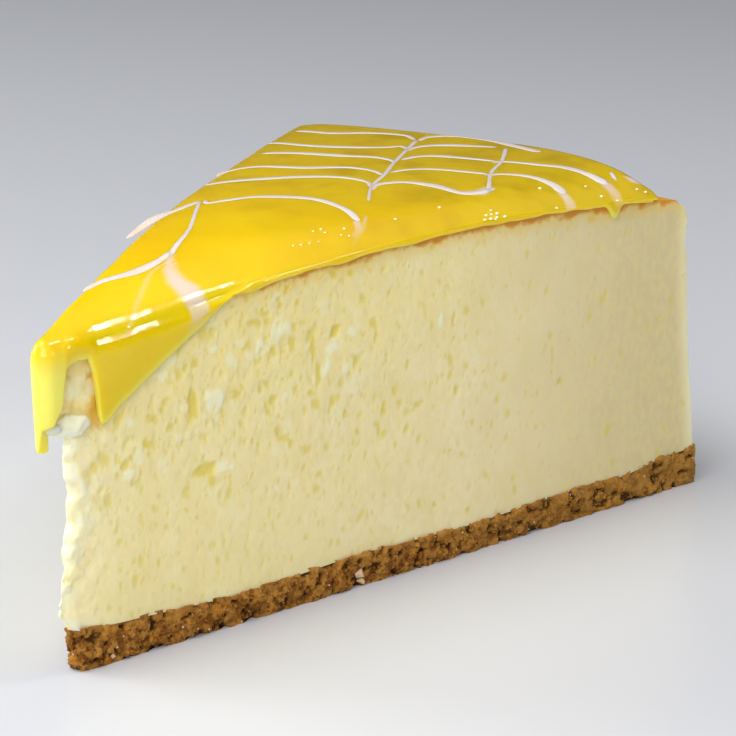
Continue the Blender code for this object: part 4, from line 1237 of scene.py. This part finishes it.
studio = {
    "floor": {"Roughness": 0.32, "Base_Color": screen(208, 210, 217), "Specular_IOR_Level": 0.4},
    "floorReach": 4.0,
    "camera": (0.229348, -0.275717, 0.153924),  # from the slice's tip
    "tilt": 72.971,
    "heading": 32.829,
    "lens": 138.49,
    "sensor": 36,
    "clip": (0.01, 20),
    "ceiling": (0.05, 0.5),
    "ceilingRange": (0.45, 0.9),
    # soft square lamps: place, side, power and colour
    "lamps": {"key": ((0.15, -0.42, 0.3), 0.36, 1.6, (1, 0.985, 0.96)),
              "above": ((-0.2, -0.3, 0.7), 0.5, 3.2, (1, 0.99, 0.97)),
              "left": ((-0.8, -0.25, 0.3), 0.4, 4.2, (0.95, 1, 0.98))},
    # slit lamps whose glints run along the glaze's ridge: how far along it, across it and up
    # they hang, then their length along it, their width and their radiance
    "glints": [(0.249, 0.142, 0.555, 0.016, 0.19, 42), (0.31, 0.142, 0.53, 0.05, 0.08, 18),
               (0.282, 0.49, 0.22, 0.02, 0.15, 34)],
}


def makeFloor():
    mesh = bpy.data.meshes.new("floor")
    reach = studio["floorReach"]
    corners = [(-reach, -reach, 0), (reach, -reach, 0), (reach, reach, 0), (-reach, reach, 0)]
    mesh.from_pydata(corners, [], [(0, 1, 2, 3)])
    floor = bpy.data.objects.new("floor", mesh)
    bpy.context.scene.collection.objects.link(floor)
    mesh.materials.append(newFinish("pale floor", **studio["floor"])[0])


# A soft lamp that looks at the middle of the slice, with its first side along the way given.
def softLamp(name, place, size, power, colour=(1, 1, 1), along=None):
    lamp = bpy.data.lights.new(name, "AREA")
    lamp.shape = "RECTANGLE"
    lamp.size, lamp.size_y = size
    lamp.energy = power
    lamp.color = colour
    thing = bpy.data.objects.new(name, lamp)
    thing.location = place
    middle = (cadLow + cadHigh) / 2
    thing.rotation_euler = (middle - thing.location).to_track_quat("-Z", "Y").to_euler()
    if along:
        back = (thing.location - middle).normalized()
        first = (Vector(along) - back * back.dot(Vector(along))).normalized()
        thing.rotation_euler = Matrix((first, back.cross(first), back)).transposed().to_euler()
    bpy.context.scene.collection.objects.link(thing)


# A dim room with a pale ceiling: dark up to about 27 degrees above the horizon, then
# brighter with the height of the direction.
def makeWorld():
    world = bpy.data.worlds.new("studio")
    world.use_nodes = True
    tree = world.node_tree
    way = addNode(tree, "TexCoord").outputs["Generated"]
    height = addNode(tree, "SeparateXYZ", {0: way}).outputs["Z"]
    ramp = ranged(tree, height, *studio["ceilingRange"], *studio["ceiling"])
    shade = addNode(tree, "CombineColor", {0: ramp, 1: ramp, 2: ramp}).outputs[0]
    tree.links.new(shade, tree.nodes["Background"].inputs["Color"])
    bpy.context.scene.world = world


def makeStudio():
    makeFloor()
    for name, (place, side, power, colour) in studio["lamps"].items():
        softLamp(name, place, (side, side), power, colour)
    for along, across, up, length, width, radiance in studio["glints"]:
        place = (along * sinHalf + across * cosHalf, along * cosHalf - across * sinHalf, up)
        power = radiance * math.pi * length * width
        softLamp("glint", place, (length, width), power, along=(sinHalf, cosHalf, 0))
    makeWorld()
    bpy.context.scene.view_settings.view_transform = "Standard"
    lens = bpy.data.cameras.new("camera")
    lens.lens = studio["lens"]
    lens.sensor_width = studio["sensor"]
    lens.clip_start, lens.clip_end = studio["clip"]
    camera = bpy.data.objects.new("camera", lens)
    x, y, z = studio["camera"]
    camera.location = (x, y + tipY * mm, z)
    camera.rotation_euler = (math.radians(studio["tilt"]), 0, math.radians(studio["heading"]))
    bpy.context.scene.collection.objects.link(camera)
    bpy.context.scene.camera = camera
    print("studio set")


makeStudio()
